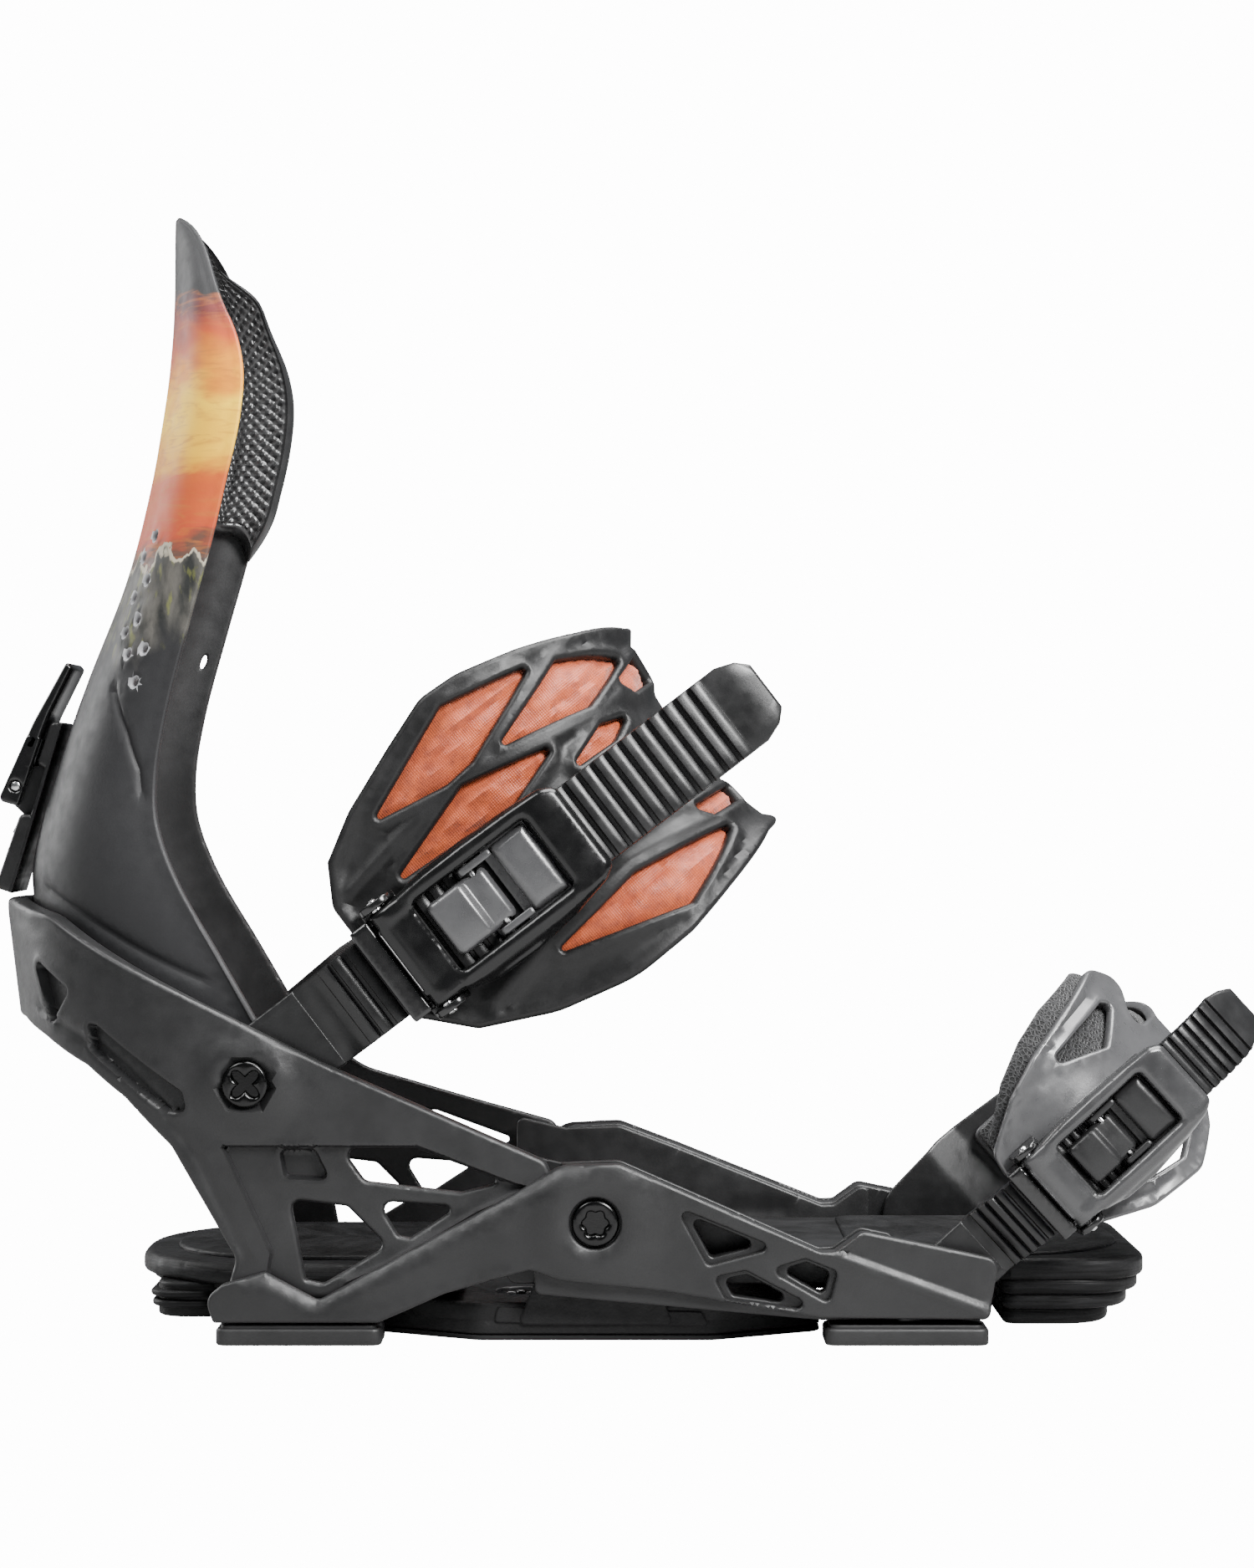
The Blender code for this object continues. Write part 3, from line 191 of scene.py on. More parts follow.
def line_points(lines):
    """Points on the feature lines and beside them."""
    found = []
    for line in lines:
        line = np.array(line, float)
        for a, b in zip(line[:-1], line[1:]):
            length = np.linalg.norm(b - a)
            along = (b - a) / max(length, 1e-9)
            normal = np.array([-along[1], along[0]])
            count = max(2, int(length / LINE_STEP))
            for off in (-1.6, -0.8, 0, 0.8, 1.6):
                found.append(a + np.linspace(0, 1, count)[:, None] * (b - a) + off * normal)
    return found


def grid_points(low, high, grid, lines):
    """An even field of points that leaves room beside the feature lines."""
    found = []
    for k, row in enumerate(np.arange(low[1], high[1], grid * ROW_SPACING)):
        across = np.arange(low[0] + (k % 2) * grid / 2, high[0], grid)
        found.append(np.stack([across, np.full(len(across), row)], 1))
    found = np.concatenate(found)
    for line in lines:
        found = found[line_distance(found, line) > LINE_ROOM]
    return found


def plate(loops, top, bottom, rim=0.8, under=0.5, step=1.4, grid=2.6, lines=()):
    """A closed body over an outline and its holes, as (points, faces) with points (a, b, height).

    top and bottom are heights, or functions of (points, distance from the rim). The rims are
    rounded by rim above and by under below. The mesh is finer along each of lines."""
    loops = [resampled(np.asarray(loop, float), step) for loop in loops]
    border = np.concatenate(loops)
    wide = max(rim, under)
    extra = rim_points(loops, wide) + line_points(lines)
    extra = np.concatenate([*extra, grid_points(border.min(0), border.max(0), grid, lines)])
    extra = extra[inside(extra, loops)]
    gap = loop_distance(extra, loops)
    extra = extra[np.where(gap <= wide * 1.02, gap > 0.05 * wide, gap > wide + 0.35)]
    flat = np.concatenate([border, extra])
    sides = []
    first = 0
    for loop in loops:
        sides += [(first + i, first + (i + 1) % len(loop)) for i in range(len(loop))]
        first += len(loop)
    points, _, faces, *_ = delaunay_2d_cdt([Vector(p) for p in flat], sides, [], 0, 1e-4)
    points = np.array([tuple(p) for p in points])
    faces = np.array(faces)
    faces = faces[inside(points[faces].mean(1), loops)]
    gap = loop_distance(points, loops)
    heights = []
    for height, radius, way in ((top, rim, -1), (bottom, under, 1)):
        level = height(points, gap) if callable(height) else np.full(len(points), float(height))
        short = radius - np.minimum(gap, radius)
        heights.append(level + way * (radius - np.sqrt(np.maximum(radius**2 - short**2, 0))))
    count = len(points)
    upper = np.column_stack([points, np.maximum(heights[0], heights[1] + 0.05)])
    lower = np.column_stack([points, heights[1]])
    ends = np.concatenate([faces[:, [0, 1]], faces[:, [1, 2]], faces[:, [2, 0]]])
    used = {tuple(e) for e in ends}
    rimmed = np.array([e for e in used if (e[1], e[0]) not in used])
    i, j = rimmed[:, 0], rimmed[:, 1]
    walls = np.stack([j, i, i + count, j + count], 1)
    every = [*faces.tolist(), *(faces[:, ::-1] + count).tolist(), *walls.tolist()]
    return np.concatenate([upper, lower]), every


def moved(part, place):
    """The part with its points put through a function of their three columns."""
    points, faces = part
    return np.stack(place(points[:, 0], points[:, 1], points[:, 2]), 1), faces


def volume(points, faces):
    """Six times the signed volume inside the faces."""
    fans = np.array([(f[0], f[k], f[k + 1]) for f in faces for k in range(1, len(f) - 1)])
    a, b, c = points[fans].transpose(1, 0, 2)
    return np.einsum("ij,ij->", a, np.cross(b, c))


def facing_out(part):
    points, faces = part
    return (points, [f[::-1] for f in faces]) if volume(points, faces) < 0 else part


def merged(*parts):
    """One mesh of closed bodies, each with its faces turned outwards."""
    points, faces, first = [], [], 0
    for p, f in map(facing_out, parts):
        points.append(p)
        faces += [[i + first for i in face] for face in f]
        first += len(p)
    return np.concatenate(points), faces


def sheet(outer, inner, closed=False):
    """A closed sheet between two grids of points, each of shape (rows, columns, 3). If closed, the
    last column joins the first."""
    rows, columns = outer.shape[:2]
    count = rows * columns
    index = np.arange(count).reshape(rows, columns)
    step = np.roll(index, -1, 1) if closed else index[:, 1:]
    base = index if closed else index[:, :-1]
    quads = np.stack([base[:-1], step[:-1], step[1:], base[1:]], -1).reshape(-1, 4)
    faces = quads.tolist() + (quads[:, ::-1] + count).tolist()
    edges = [index[0], index[-1][::-1]]
    if not closed:
        edges = [np.concatenate([index[0, :-1], index[:-1, -1], index[-1, :0:-1], index[:0:-1, 0]])]
    for edge in edges:
        there = np.roll(edge, -1)
        faces += np.stack([there, edge, edge + count, there + count], 1).tolist()
    return np.concatenate([outer.reshape(-1, 3), inner.reshape(-1, 3)]), faces


def ringed(rings):
    """A body from rings of points, of shape (rings, points in each, 3), closed at both ends."""
    rows, columns = rings.shape[:2]
    index = np.arange(rows * columns).reshape(rows, columns)
    there = np.roll(index, -1, 1)
    faces = np.stack([index[:-1], there[:-1], there[1:], index[1:]], -1).reshape(-1, 4).tolist()
    return rings.reshape(-1, 3), faces + [index[0][::-1].tolist(), index[-1].tolist()]


def lathe(profile, sides=40):
    """A round body about the height axis from (height, radius) pairs, closed at both ends."""
    turn = np.linspace(0, 2 * np.pi, sides, endpoint=False)
    rings = [[r * np.cos(turn), r * np.sin(turn), np.full(sides, h)] for h, r in profile]
    return ringed(np.transpose(np.array(rings), (0, 2, 1)))


def make(name, part, finish, body, replaces=(), sharp=42):
    """The object of a part in millimetres, with its material. It rides on a CAD body."""
    points, faces = merged(part)
    mesh = bpy.data.meshes.new(name)
    mesh.from_pydata((points * MM).tolist(), [], faces)
    mesh.shade_smooth()
    mesh.set_sharp_from_angle(angle=math.radians(sharp))
    mesh.materials.append(finish)
    made = bpy.data.objects.new(name, mesh)
    bpy.context.scene.collection.objects.link(made)
    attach(made, body)
    if replaces:
        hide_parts(*replaces)
    return made


# ---------------------------------------------------------------- materials


class Look:
    """A procedural material whose patterns follow the object's own coordinates, in metres."""

    def __init__(self, name, metallic=0.0, coat=0.0, sheen=0.0, level=0.5):
        self.material = bpy.data.materials.new(name)
        self.material.use_nodes = True
        self.tree = self.material.node_tree
        self.shader = self.tree.nodes["Principled BSDF"]
        self.shader.inputs["Metallic"].default_value = metallic
        self.shader.inputs["Coat Weight"].default_value = coat
        self.shader.inputs["Coat Roughness"].default_value = 0.2
        self.shader.inputs["Sheen Weight"].default_value = sheen
        self.shader.inputs["Specular IOR Level"].default_value = level
        self.where = self.add("ShaderNodeTexCoord").outputs["Object"]

    def add(self, kind, **inputs):
        node = self.tree.nodes.new(kind)
        for key, value in inputs.items():
            self.put(node.inputs[key.replace("_", " ")], value)
        return node

    def put(self, socket, value):
        if isinstance(value, bpy.types.NodeSocket):
            self.tree.links.new(value, socket)
        else:
            socket.default_value = value

    def noise(self, scale, detail=3.0, stretch=(1, 1, 1), distortion=0.0):
        place = self.add("ShaderNodeMapping", Vector=self.where, Scale=stretch)
        made = self.add("ShaderNodeTexNoise", Vector=place.outputs[0], Scale=scale)
        made.inputs["Detail"].default_value = detail
        made.inputs["Distortion"].default_value = distortion
        return made.outputs["Fac"]

    def cells(self, scale, stretch=(1, 1, 1), feature="F1"):
        place = self.add("ShaderNodeMapping", Vector=self.where, Scale=stretch)
        made = self.tree.nodes.new("ShaderNodeTexVoronoi")
        made.feature = feature
        self.put(made.inputs["Vector"], place.outputs[0])
        made.inputs["Scale"].default_value = scale
        return made.outputs["Distance"]

    def waves(self, scale, turn=(0, 0, 0), distortion=0.0):
        place = self.add("ShaderNodeMapping", Vector=self.where, Rotation=turn)
        made = self.add("ShaderNodeTexWave", Vector=place.outputs[0], Scale=scale)
        made.inputs["Distortion"].default_value = distortion
        return made.outputs["Fac"]

    def combined(self, how, a, b):
        """Two values put together by a Math node's operation."""
        made = self.tree.nodes.new("ShaderNodeMath")
        made.operation = how
        self.put(made.inputs[0], a)
        self.put(made.inputs[1], b)
        return made.outputs[0]

    def ranged(self, value, low, high, to_low, to_high):
        made = self.add("ShaderNodeMapRange", Value=value)
        for key, number in zip(("From Min", "From Max", "To Min", "To Max"), (low, high, to_low, to_high)):
            made.inputs[key].default_value = number
        return made.outputs[0]

    def mix(self, share, a, b):
        made = self.tree.nodes.new("ShaderNodeMix")
        made.data_type = "RGBA"
        for socket, value in ((0, share), (6, a), (7, b)):
            if not isinstance(value, bpy.types.NodeSocket) and socket:
                value = (*value, 1.0)
            self.put(made.inputs[socket], value)
        return made.outputs[2]

    def colour(self, value):
        self.put(self.shader.inputs["Base Color"], value)

    def rough(self, value):
        self.put(self.shader.inputs["Roughness"], value)

    def bumps(self, *layers):
        """Adds (height, depth in millimetres) layers of relief."""
        normal = None
        for height, depth in layers:
            node = self.add("ShaderNodeBump", Height=height)
            node.inputs["Strength"].default_value = 1.0
            node.inputs["Distance"].default_value = depth * MM
            if normal:
                self.put(node.inputs["Normal"], normal)
            normal = node.outputs[0]
        self.put(self.shader.inputs["Normal"], normal)


def plastic(name, tone, rough, grain=0.02, vary=0.25, tint=(1, 1, 1.03), **shader):
    """A moulded plastic or rubber: a dark tone with faint blotches, wear and a fine grain."""
    look = Look(name, **shader)
    dark = [tone * (1 - vary) * t for t in tint]
    light = [tone * (1 + vary) * t for t in tint]
    cloud = look.ranged(look.noise(55, 4), 0.3, 0.7, 0, 1)
    fine = look.noise(1400, 2)
    look.colour(look.mix(cloud, dark, light))
    look.rough(look.ranged(look.noise(220, 3), 0.3, 0.7, rough - 0.06, rough + 0.08))
    look.bumps((fine, grain), (look.noise(300, 2), grain * 1.6))
    return look


def metal(name, tone, rough):
    look = Look(name, metallic=1.0)
    look.colour(look.mix(look.noise(90), [tone * 0.85] * 3, [tone * 1.1] * 3))
    look.rough(look.ranged(look.noise(600, 3, (1, 1, 8)), 0.3, 0.7, rough - 0.05, rough + 0.1))
    look.bumps((look.noise(1500, 2), 0.01))
    return look


def painted_highback():
    """Plain bands of colour over a grey ridge with a light edge, then bare dark plastic.

    The heights are in metres above the board."""
    look = Look("highback_paint", level=0.35)
    height = look.add("ShaderNodeSeparateXYZ", Vector=look.where).outputs["Z"]
    drift = look.ranged(look.noise(38, 4, (1, 1, 2.2), 0.6), 0.3, 0.7, -0.006, 0.006)
    level = look.combined("ADD", height, drift)
    ramp = look.add("ShaderNodeValToRGB", Fac=look.ranged(level, 0.15, 0.29, 0, 1))
    stops = [
        (0.0, (0.011, 0.011, 0.0115)),
        (0.10, (0.014, 0.014, 0.015)),
        (0.18, (0.030, 0.034, 0.026)),
        (0.33, (0.050, 0.048, 0.044)),
        (0.375, (0.10, 0.045, 0.03)),
        (0.40, (0.42, 0.055, 0.018)),
        (0.50, (0.50, 0.09, 0.012)),
        (0.55, (0.74, 0.36, 0.006)),
        (0.63, (0.92, 0.56, 0.01)),
        (0.68, (0.72, 0.25, 0.006)),
        (0.74, (0.46, 0.07, 0.012)),
        (0.80, (0.18, 0.028, 0.022)),
        (0.85, (0.06, 0.022, 0.024)),
        (0.875, (0.02, 0.02, 0.022)),
        (1.0, (0.02, 0.02, 0.021)),
    ]
    band = ramp.color_ramp
    while len(band.elements) > 1:
        band.elements.remove(band.elements[-1])
    band.elements[0].position = stops[0][0]
    band.elements[0].color = (*stops[0][1], 1)
    for place, tone in stops[1:]:
        element = band.elements.new(place)
        element.color = (*tone, 1)
    streak = look.ranged(look.noise(60, 5, (1, 1, 6), 2.0), 0.5, 0.68, 0, 0.5)
    colour = look.mix(streak, ramp.outputs[0], (0.42, 0.12, 0.02))
    jagged = look.ranged(look.noise(95, 6, (1, 1, 0.45)), 0.3, 0.7, -0.008, 0.008)
    ridge = look.combined("ADD", height, jagged)
    stone = look.ranged(look.noise(190, 6, (1, 1, 0.45), 0.3), 0.4, 0.66, 0, 1)
    stone = look.mix(stone, (0.012, 0.013, 0.012), (0.085, 0.08, 0.07))
    grass = look.ranged(look.noise(420, 4, (1, 1, 0.3)), 0.56, 0.66, 0, 0.55)
    stone = look.mix(grass, stone, (0.16, 0.17, 0.035))
    stone = look.mix(look.ranged(ridge, 0.1725, 0.182, 0, 1), (0.014, 0.014, 0.015), stone)
    colour = look.mix(look.ranged(ridge, 0.2025, 0.2029, 1, 0), colour, stone)
    above = look.ranged(ridge, 0.2008, 0.2018, 0, 1)
    below = look.ranged(ridge, 0.2025, 0.2029, 1, 0)
    snow = look.combined("MULTIPLY", above, below)
    colour = look.mix(look.combined("MULTIPLY", snow, 0.7), colour, (0.5, 0.45, 0.34))
    top = look.ranged(level, 0.2695, 0.2715, 0, 1)
    look.colour(look.mix(top, colour, (0.02, 0.02, 0.021)))
    look.rough(look.ranged(look.noise(260, 3), 0.3, 0.7, 0.5, 0.62))
    look.bumps((look.noise(1300, 2), 0.02), (look.noise(200, 2), 0.04))
    return look


def quilted():
    """Puffed orange fabric: a fine weave, creases, and blotches of lighter orange that are painted
    highlights.
    """
    look = Look("orange_fabric", sheen=0.3, level=0.4)
    weave = look.combined("ADD", look.waves(520, (0, 0.7, 0)), look.waves(520, (0, -0.87, 0)))
    # The lighter orange in these blotches is a painted highlight.
    tone = look.mix(look.noise(140, 4), (0.27, 0.034, 0.007), (0.44, 0.08, 0.016))
    look.colour(look.mix(look.ranged(look.noise(420, 3), 0.45, 0.75, 0, 0.6), tone, (0.15, 0.02, 0.006)))
    look.rough(look.ranged(look.noise(350, 3), 0.3, 0.7, 0.42, 0.62))
    look.bumps((weave, 0.05), (look.noise(260, 3, distortion=1.0), 0.25))
    return look


def meshed():
    """Open six-sided mesh over a dark lining."""
    look = Look("hex_mesh", sheen=0.2, level=0.3)
    cell = look.cells(900, feature="DISTANCE_TO_EDGE")
    line = look.ranged(cell, 0.06, 0.2, 1, 0)
    look.colour(look.mix(line, (0.002, 0.002, 0.0022), (0.016, 0.016, 0.017)))
    look.rough(look.ranged(look.noise(300), 0.3, 0.7, 0.7, 0.9))
    look.bumps((line, 0.3), (look.noise(900), 0.05))
    return look


def grained_foam():
    """Footbed foam, with long streaks moulded into its edge; the streaks' raised parts are coloured lighter
    as a painted highlight.
    """
    look = Look("footbed_foam", level=0.14)
    streak = look.noise(260, 4, (0.25, 0.25, 3.5), 0.8)
    # The colour is lighter where the streaks rise: a painted highlight on the moulded streaks.
    look.colour(look.mix(look.ranged(streak, 0.35, 0.65, 0, 1), [0.003] * 3, [0.012, 0.012, 0.0125]))
    look.rough(look.ranged(look.noise(200), 0.3, 0.7, 0.42, 0.6))
    look.bumps((streak, 0.25), (look.noise(1200), 0.04))
    return look


def make_looks():
    looks = {
        "nylon": plastic("nylon", 0.012, 0.42, 0.025, level=0.36),
        "fine_nylon": plastic("fine_nylon", 0.010, 0.36, 0.02, level=0.4),
        "gloss_nylon": plastic("gloss_nylon", 0.004, 0.2, 0.006, coat=0.2),
        "rubber": plastic("rubber", 0.009, 0.5, 0.03, level=0.45),
        "pad_rubber": plastic("pad_rubber", 0.014, 0.34, 0.02, level=0.7),
        "base_nylon": plastic("base_nylon", 0.006, 0.65, 0.12, level=0.35),
        "gasket": plastic("gasket", 0.014, 0.85, 0.04, level=0.25),
        "strap_rubber": plastic("strap_rubber", 0.0065, 0.46, 0.03, level=0.32),
        "toe_shell": plastic("toe_shell", 0.05, 0.3, 0.012, vary=0.05, level=0.7),
        "ladder": plastic("ladder", 0.008, 0.34, 0.015, level=0.4),
        "satin_grey": plastic("satin_grey", 0.045, 0.28, 0.01, vary=0.12, level=0.8),
        "black_steel": metal("black_steel", 0.03, 0.18),
        "steel": metal("steel", 0.62, 0.22),
        "ankle_lever": plastic("ankle_lever", 0.003, 0.22, 0.004, level=0.4),
        "toe_lever": plastic("toe_lever", 0.03, 0.22, 0.004, coat=0.2),
        "paint": painted_highback(),
        "bare_highback": plastic("bare_highback", 0.016, 0.42, 0.025, level=0.36),
        # Light grey for the vents' walls: painted light in the vents, which would otherwise lie in shade.
        "vent_painted_light": plastic("vent_painted_light", 0.3, 0.5, 0.02),
        "fabric": quilted(),
        "mesh": meshed(),
        "foam": grained_foam(),
    }
    return {name: look.material for name, look in looks.items()}


# ---------------------------------------------------------------- base and bolts

KINGPIN_Z = 31.0
KINGPIN_BORE = 4.35
GAP = 0.35  # clearance between parts
MEDIAL_FORWARD = 6.0  # the medial rail reaches this much further towards the toe
ANKLE = (-88.5, 66.0)  # (x, z) of the ankle bolts
TOE = (88.0, 14.0)  # (x, z) of the toe bolts
DISC_HOLES = [(x, y) for x in (-20, 20) for y in (-20, 20)]


def side_view(sign):
    """Side view: (x, z) outlines, thick along Y away from the middle."""
    return lambda a, b, h: (a, sign * h, b)


def base_outline():
    near = [(-58, -34, 6), (-30, -49.5, 8), (30, -49.5, 8), (58, -34, 6)]
    return rounded(near + [(-a, -b, r) for a, b, r in near], 6)


def build_base(looks):
    """Base plate with its kingpin ears, the gasket under it, the disc and its screws."""
    parts = [plate([base_outline(), circle(0, 0, 35.85, 90)], 5.2, 1.5, 0.3, 0.6)]

    def ribs(p, gap):
        """Radial ribs on the plate's upper face, and a raised border."""
        turn = np.arctan2(p[:, 1], p[:, 0])
        rib = smooth((np.cos(turn * 24) - 0.55) / 0.3)
        return 8.6 + 0.9 * np.maximum(rib, 1 - smooth((gap - 2.2) / 1.2))

    parts.append(plate([base_outline(), circle(0, 0, 41.35, 90)], ribs, 4.8, 1.2, 0.2))
    for sign in SIDES.values():
        ear = softened([(-20, 4), (20, 4), (11, 26), (11, 42, 9), (-11, 42, 9), (-11, 26)])
        ear = plate([ear, circle(0, KINGPIN_Z, KINGPIN_BORE)], 50.6, 46.9, 0.6, 0.6)
        parts.append(moved(ear, side_view(sign)))
        label = softened([(-26, 4.6), (29, 3.6), (27, 7.4), (-25, 8.6)], 1)
        parts.append(moved(plate([label], 50.1, 48.5, 0.4, 0.1), side_view(sign)))
    make("base_plate_body", merged(*parts), looks["base_nylon"], "base", ["base_plate"])
    gasket = plate([base_outline(), circle(0, 0, 36.5, 90)], 1.2, 0, 0.35, 0.15)
    make("base_gasket_foam", gasket, looks["gasket"], "base", ["base_gasket"])
    holes = [circle(x, y, 7.3) for x, y in DISC_HOLES]

    def disc_top(p, gap):
        """Concentric serrations round the disc's edge and a shallow dish in its middle."""
        r = np.hypot(p[:, 0], p[:, 1])
        teeth = 0.35 * np.cos(np.arctan2(p[:, 1], p[:, 0]) * 60) * smooth((r - 34.5) / 1.5)
        return 8.6 + teeth - 1.2 * smooth((17 - r) / 4) - 0.4 * bump(r - 32, 1.2)

    disc = [plate([circle(0, 0, 41, 160), *holes], disc_top, 5.35, 0.5, 0.3, grid=1.9)]
    seats = [circle(x, y, 3.5) for x, y in DISC_HOLES]
    disc.append(plate([circle(0, 0, 35.5, 120), *holes], 5.6, 3.9, 0.1, 0.1))
    disc.append(plate([circle(0, 0, 35.5, 120), *seats], 4.0, 0.0, 0.1, 0.5))
    make("mounting_disc_body", merged(*disc), looks["fine_nylon"], "base", ["mounting_disc"])
    for number, (x, y) in enumerate(DISC_HOLES, 1):
        shaft = lathe([(0.2, 2.4), (0.8, 3.0), (4.4, 3.0)])
        head = bolt_head(4.4, 8.2, 6.6, cross(3.6, 1.1), 2.2)
        points, faces = merged(shaft, head)
        name = f"disc_screw_{number}"
        made = (points + np.array([x, y, 0]), faces)
        make(f"{name}_body", made, looks["black_steel"], "base", [name])


def cross(long, half):
    """Outline of a cross recess."""
    arm = [(long, -half), (long, half), (half, half)]
    corners = []
    for turn in range(4):
        c, s = math.cos(turn * math.pi / 2), math.sin(turn * math.pi / 2)
        corners += [(a * c - b * s, a * s + b * c) for a, b in arm]
    return softened(corners, 0.35, 3)


def star(radius, lobes=6, depth=0.2):
    """Outline of a lobed recess."""
    turn = np.linspace(0, 2 * np.pi, lobes * 12, endpoint=False)
    reach = radius * (1 - depth * (0.5 - 0.5 * np.cos(turn * lobes)))
    return np.stack([reach * np.cos(turn), reach * np.sin(turn)], 1)


def diagonal(outline):
    """An outline turned by half a right angle."""
    return np.stack([outline[:, 0] - outline[:, 1], outline[:, 0] + outline[:, 1]], 1) * math.sqrt(0.5)


def bolt_head(low, high, radius, recess, depth):
    """A round head with a recess of that outline and depth, about the height axis."""
    edge = min(1.1, (high - low) * 0.4)
    rim = plate([circle(0, 0, radius, 56), recess], high, low, edge, 0.15, 0.8, 1.1)
    floor = plate([circle(0, 0, radius * 0.9, 40)], high - depth, low, 0.05, 0.05, 1.2, 1.6)
    return merged(rim, floor)


def along_y(part, x, z, sign):
    """Turns a part from the height axis to one side's outward direction, about (x, z)."""
    return moved(part, lambda a, b, h: (x + a, sign * h, z + b))


def build_bolts(looks):
    """Each side's kingpin, ankle bolt and toe bolt. The toe bolt's head is on the inside."""
    for side, sign in SIDES.items():
        shaft = lathe([(43, 3.4), (43.6, 4.0), (57.4, 4.0)])
        pin = merged(shaft, bolt_head(57.2, 60.0, 6.0, star(3.3), 1.8))
        name = f"kingpin_{side}"
        make(f"{name}_body", along_y(pin, 0, KINGPIN_Z, sign), looks["black_steel"], "base", [name])
        shaft = lathe([(42, 2.6), (42.4, 3.0), (56.6, 3.0)])
        bolt = merged(shaft, bolt_head(56.4, 59.0, 5.9, diagonal(star(4.4, 4, 0.62)), 1.7))
        name = f"ankle_bolt_{side}"
        make(f"{name}_body", along_y(bolt, *ANKLE, sign), looks["black_steel"], "hanger", [name])
        shaft = lathe([(47.5, 2.4), (54.1, 2.4), (54.5, 2.0)])
        points, faces = bolt_head(-47.85, -44.6, 5.2, cross(3.0, 0.9), 1.4)
        screw = merged(shaft, (points * np.array([1, 1, -1]), faces))
        name = f"toe_bolt_{side}"
        make(f"{name}_body", along_y(screw, *TOE, sign), looks["black_steel"], "hanger", [name])


# ---------------------------------------------------------------- chassis


def rail_outline(f):
    return rounded(
        [(-96.5, 5.8, 1), (-98.6, 12, 4), (-94, 15.6, 3), (-83.5, 18.6, 1.5), (-70, 11.4, 2)]
        + [(-20, 38.6, 6), (-9, 45.5, 8), (6, 46, 6), (22, 39 + f / 6, 8), (57 + f, 23.6, 3)]
        + [(60.5 + f, 23.8, 2), (67.5 + f, 28.8, 3), (102 + f, 21.8, 3), (99.5 + f, 6.6, 2)]
        + [(57, 7, 2), (18, 13.8, 5), (-9, 16.6, 6), (-16.5, 19.2, 3), (-38, 13.2, 6), (-55, 5.8, 3)],
        5,
    )


def web_outline(f):
    return rounded(
        [(-15.4, 27.6, 1), (-8.6, 36, 1), (-8.6, 44.8, 2), (6, 45.6, 6), (22, 38.6 + f / 6, 8)]
        + [(57 + f, 23.2, 3), (60.5 + f, 23.4, 2), (67.5 + f, 28.4, 3), (101.4 + f, 21.4, 3)]
        + [(99 + f, 7.2, 2), (57.6, 6.2, 2), (-15.4, 12.8, 2)],
        5,
    )


def cheek_outline(f):
    return rounded(
        [(-23, 14, 3), (-23, 48.2, 2), (-9, 45, 4), (6, 45.6, 6), (22, 38.6 + f / 6, 8)]
        + [(57 + f, 23.2, 3), (60.5 + f, 23.4, 2), (67.5 + f, 28.4, 3), (76, 26.6 + f / 4, 2), (76, 14, 2)],
        5,
    )


def cap_outline(f):
    top = [(-8.6, 44.9), (6, 44.9, 6), (22, 38 + f / 6, 8), (57 + f, 22.8), (61 + f, 22.8)]
    top += [(67.8 + f, 27.6), (76, 26 + f / 4), (76, 23 + f / 4)]
    under = [(69 + f, 24.6), (62 + f, 20.4), (56 + f, 20.4), (21, 35.4 + f / 6, 8), (5, 42.7, 6)]
    return rounded(top + under + [(-8.6, 42.7)], 5)


RAIL_WINDOWS = [
    [(20.5, 35), (45.5, 24.8), (28.5, 20.3)],
    [(44, 19.3), (53, 22), (61, 18.8), (59, 10.8)],
    [(30, 17.4), (38, 19), (57.5, 8.6), (33, 11.9)],
]


def rail_windows(inset):
    shrunk = []
    for window in RAIL_WINDOWS:
        middle = np.mean(window, 0)
        corners = middle + (np.array(window) - middle) * (1 - inset / 6)
        shrunk.append(rounded([(*p, 1.2) for p in corners], 4))
    return shrunk


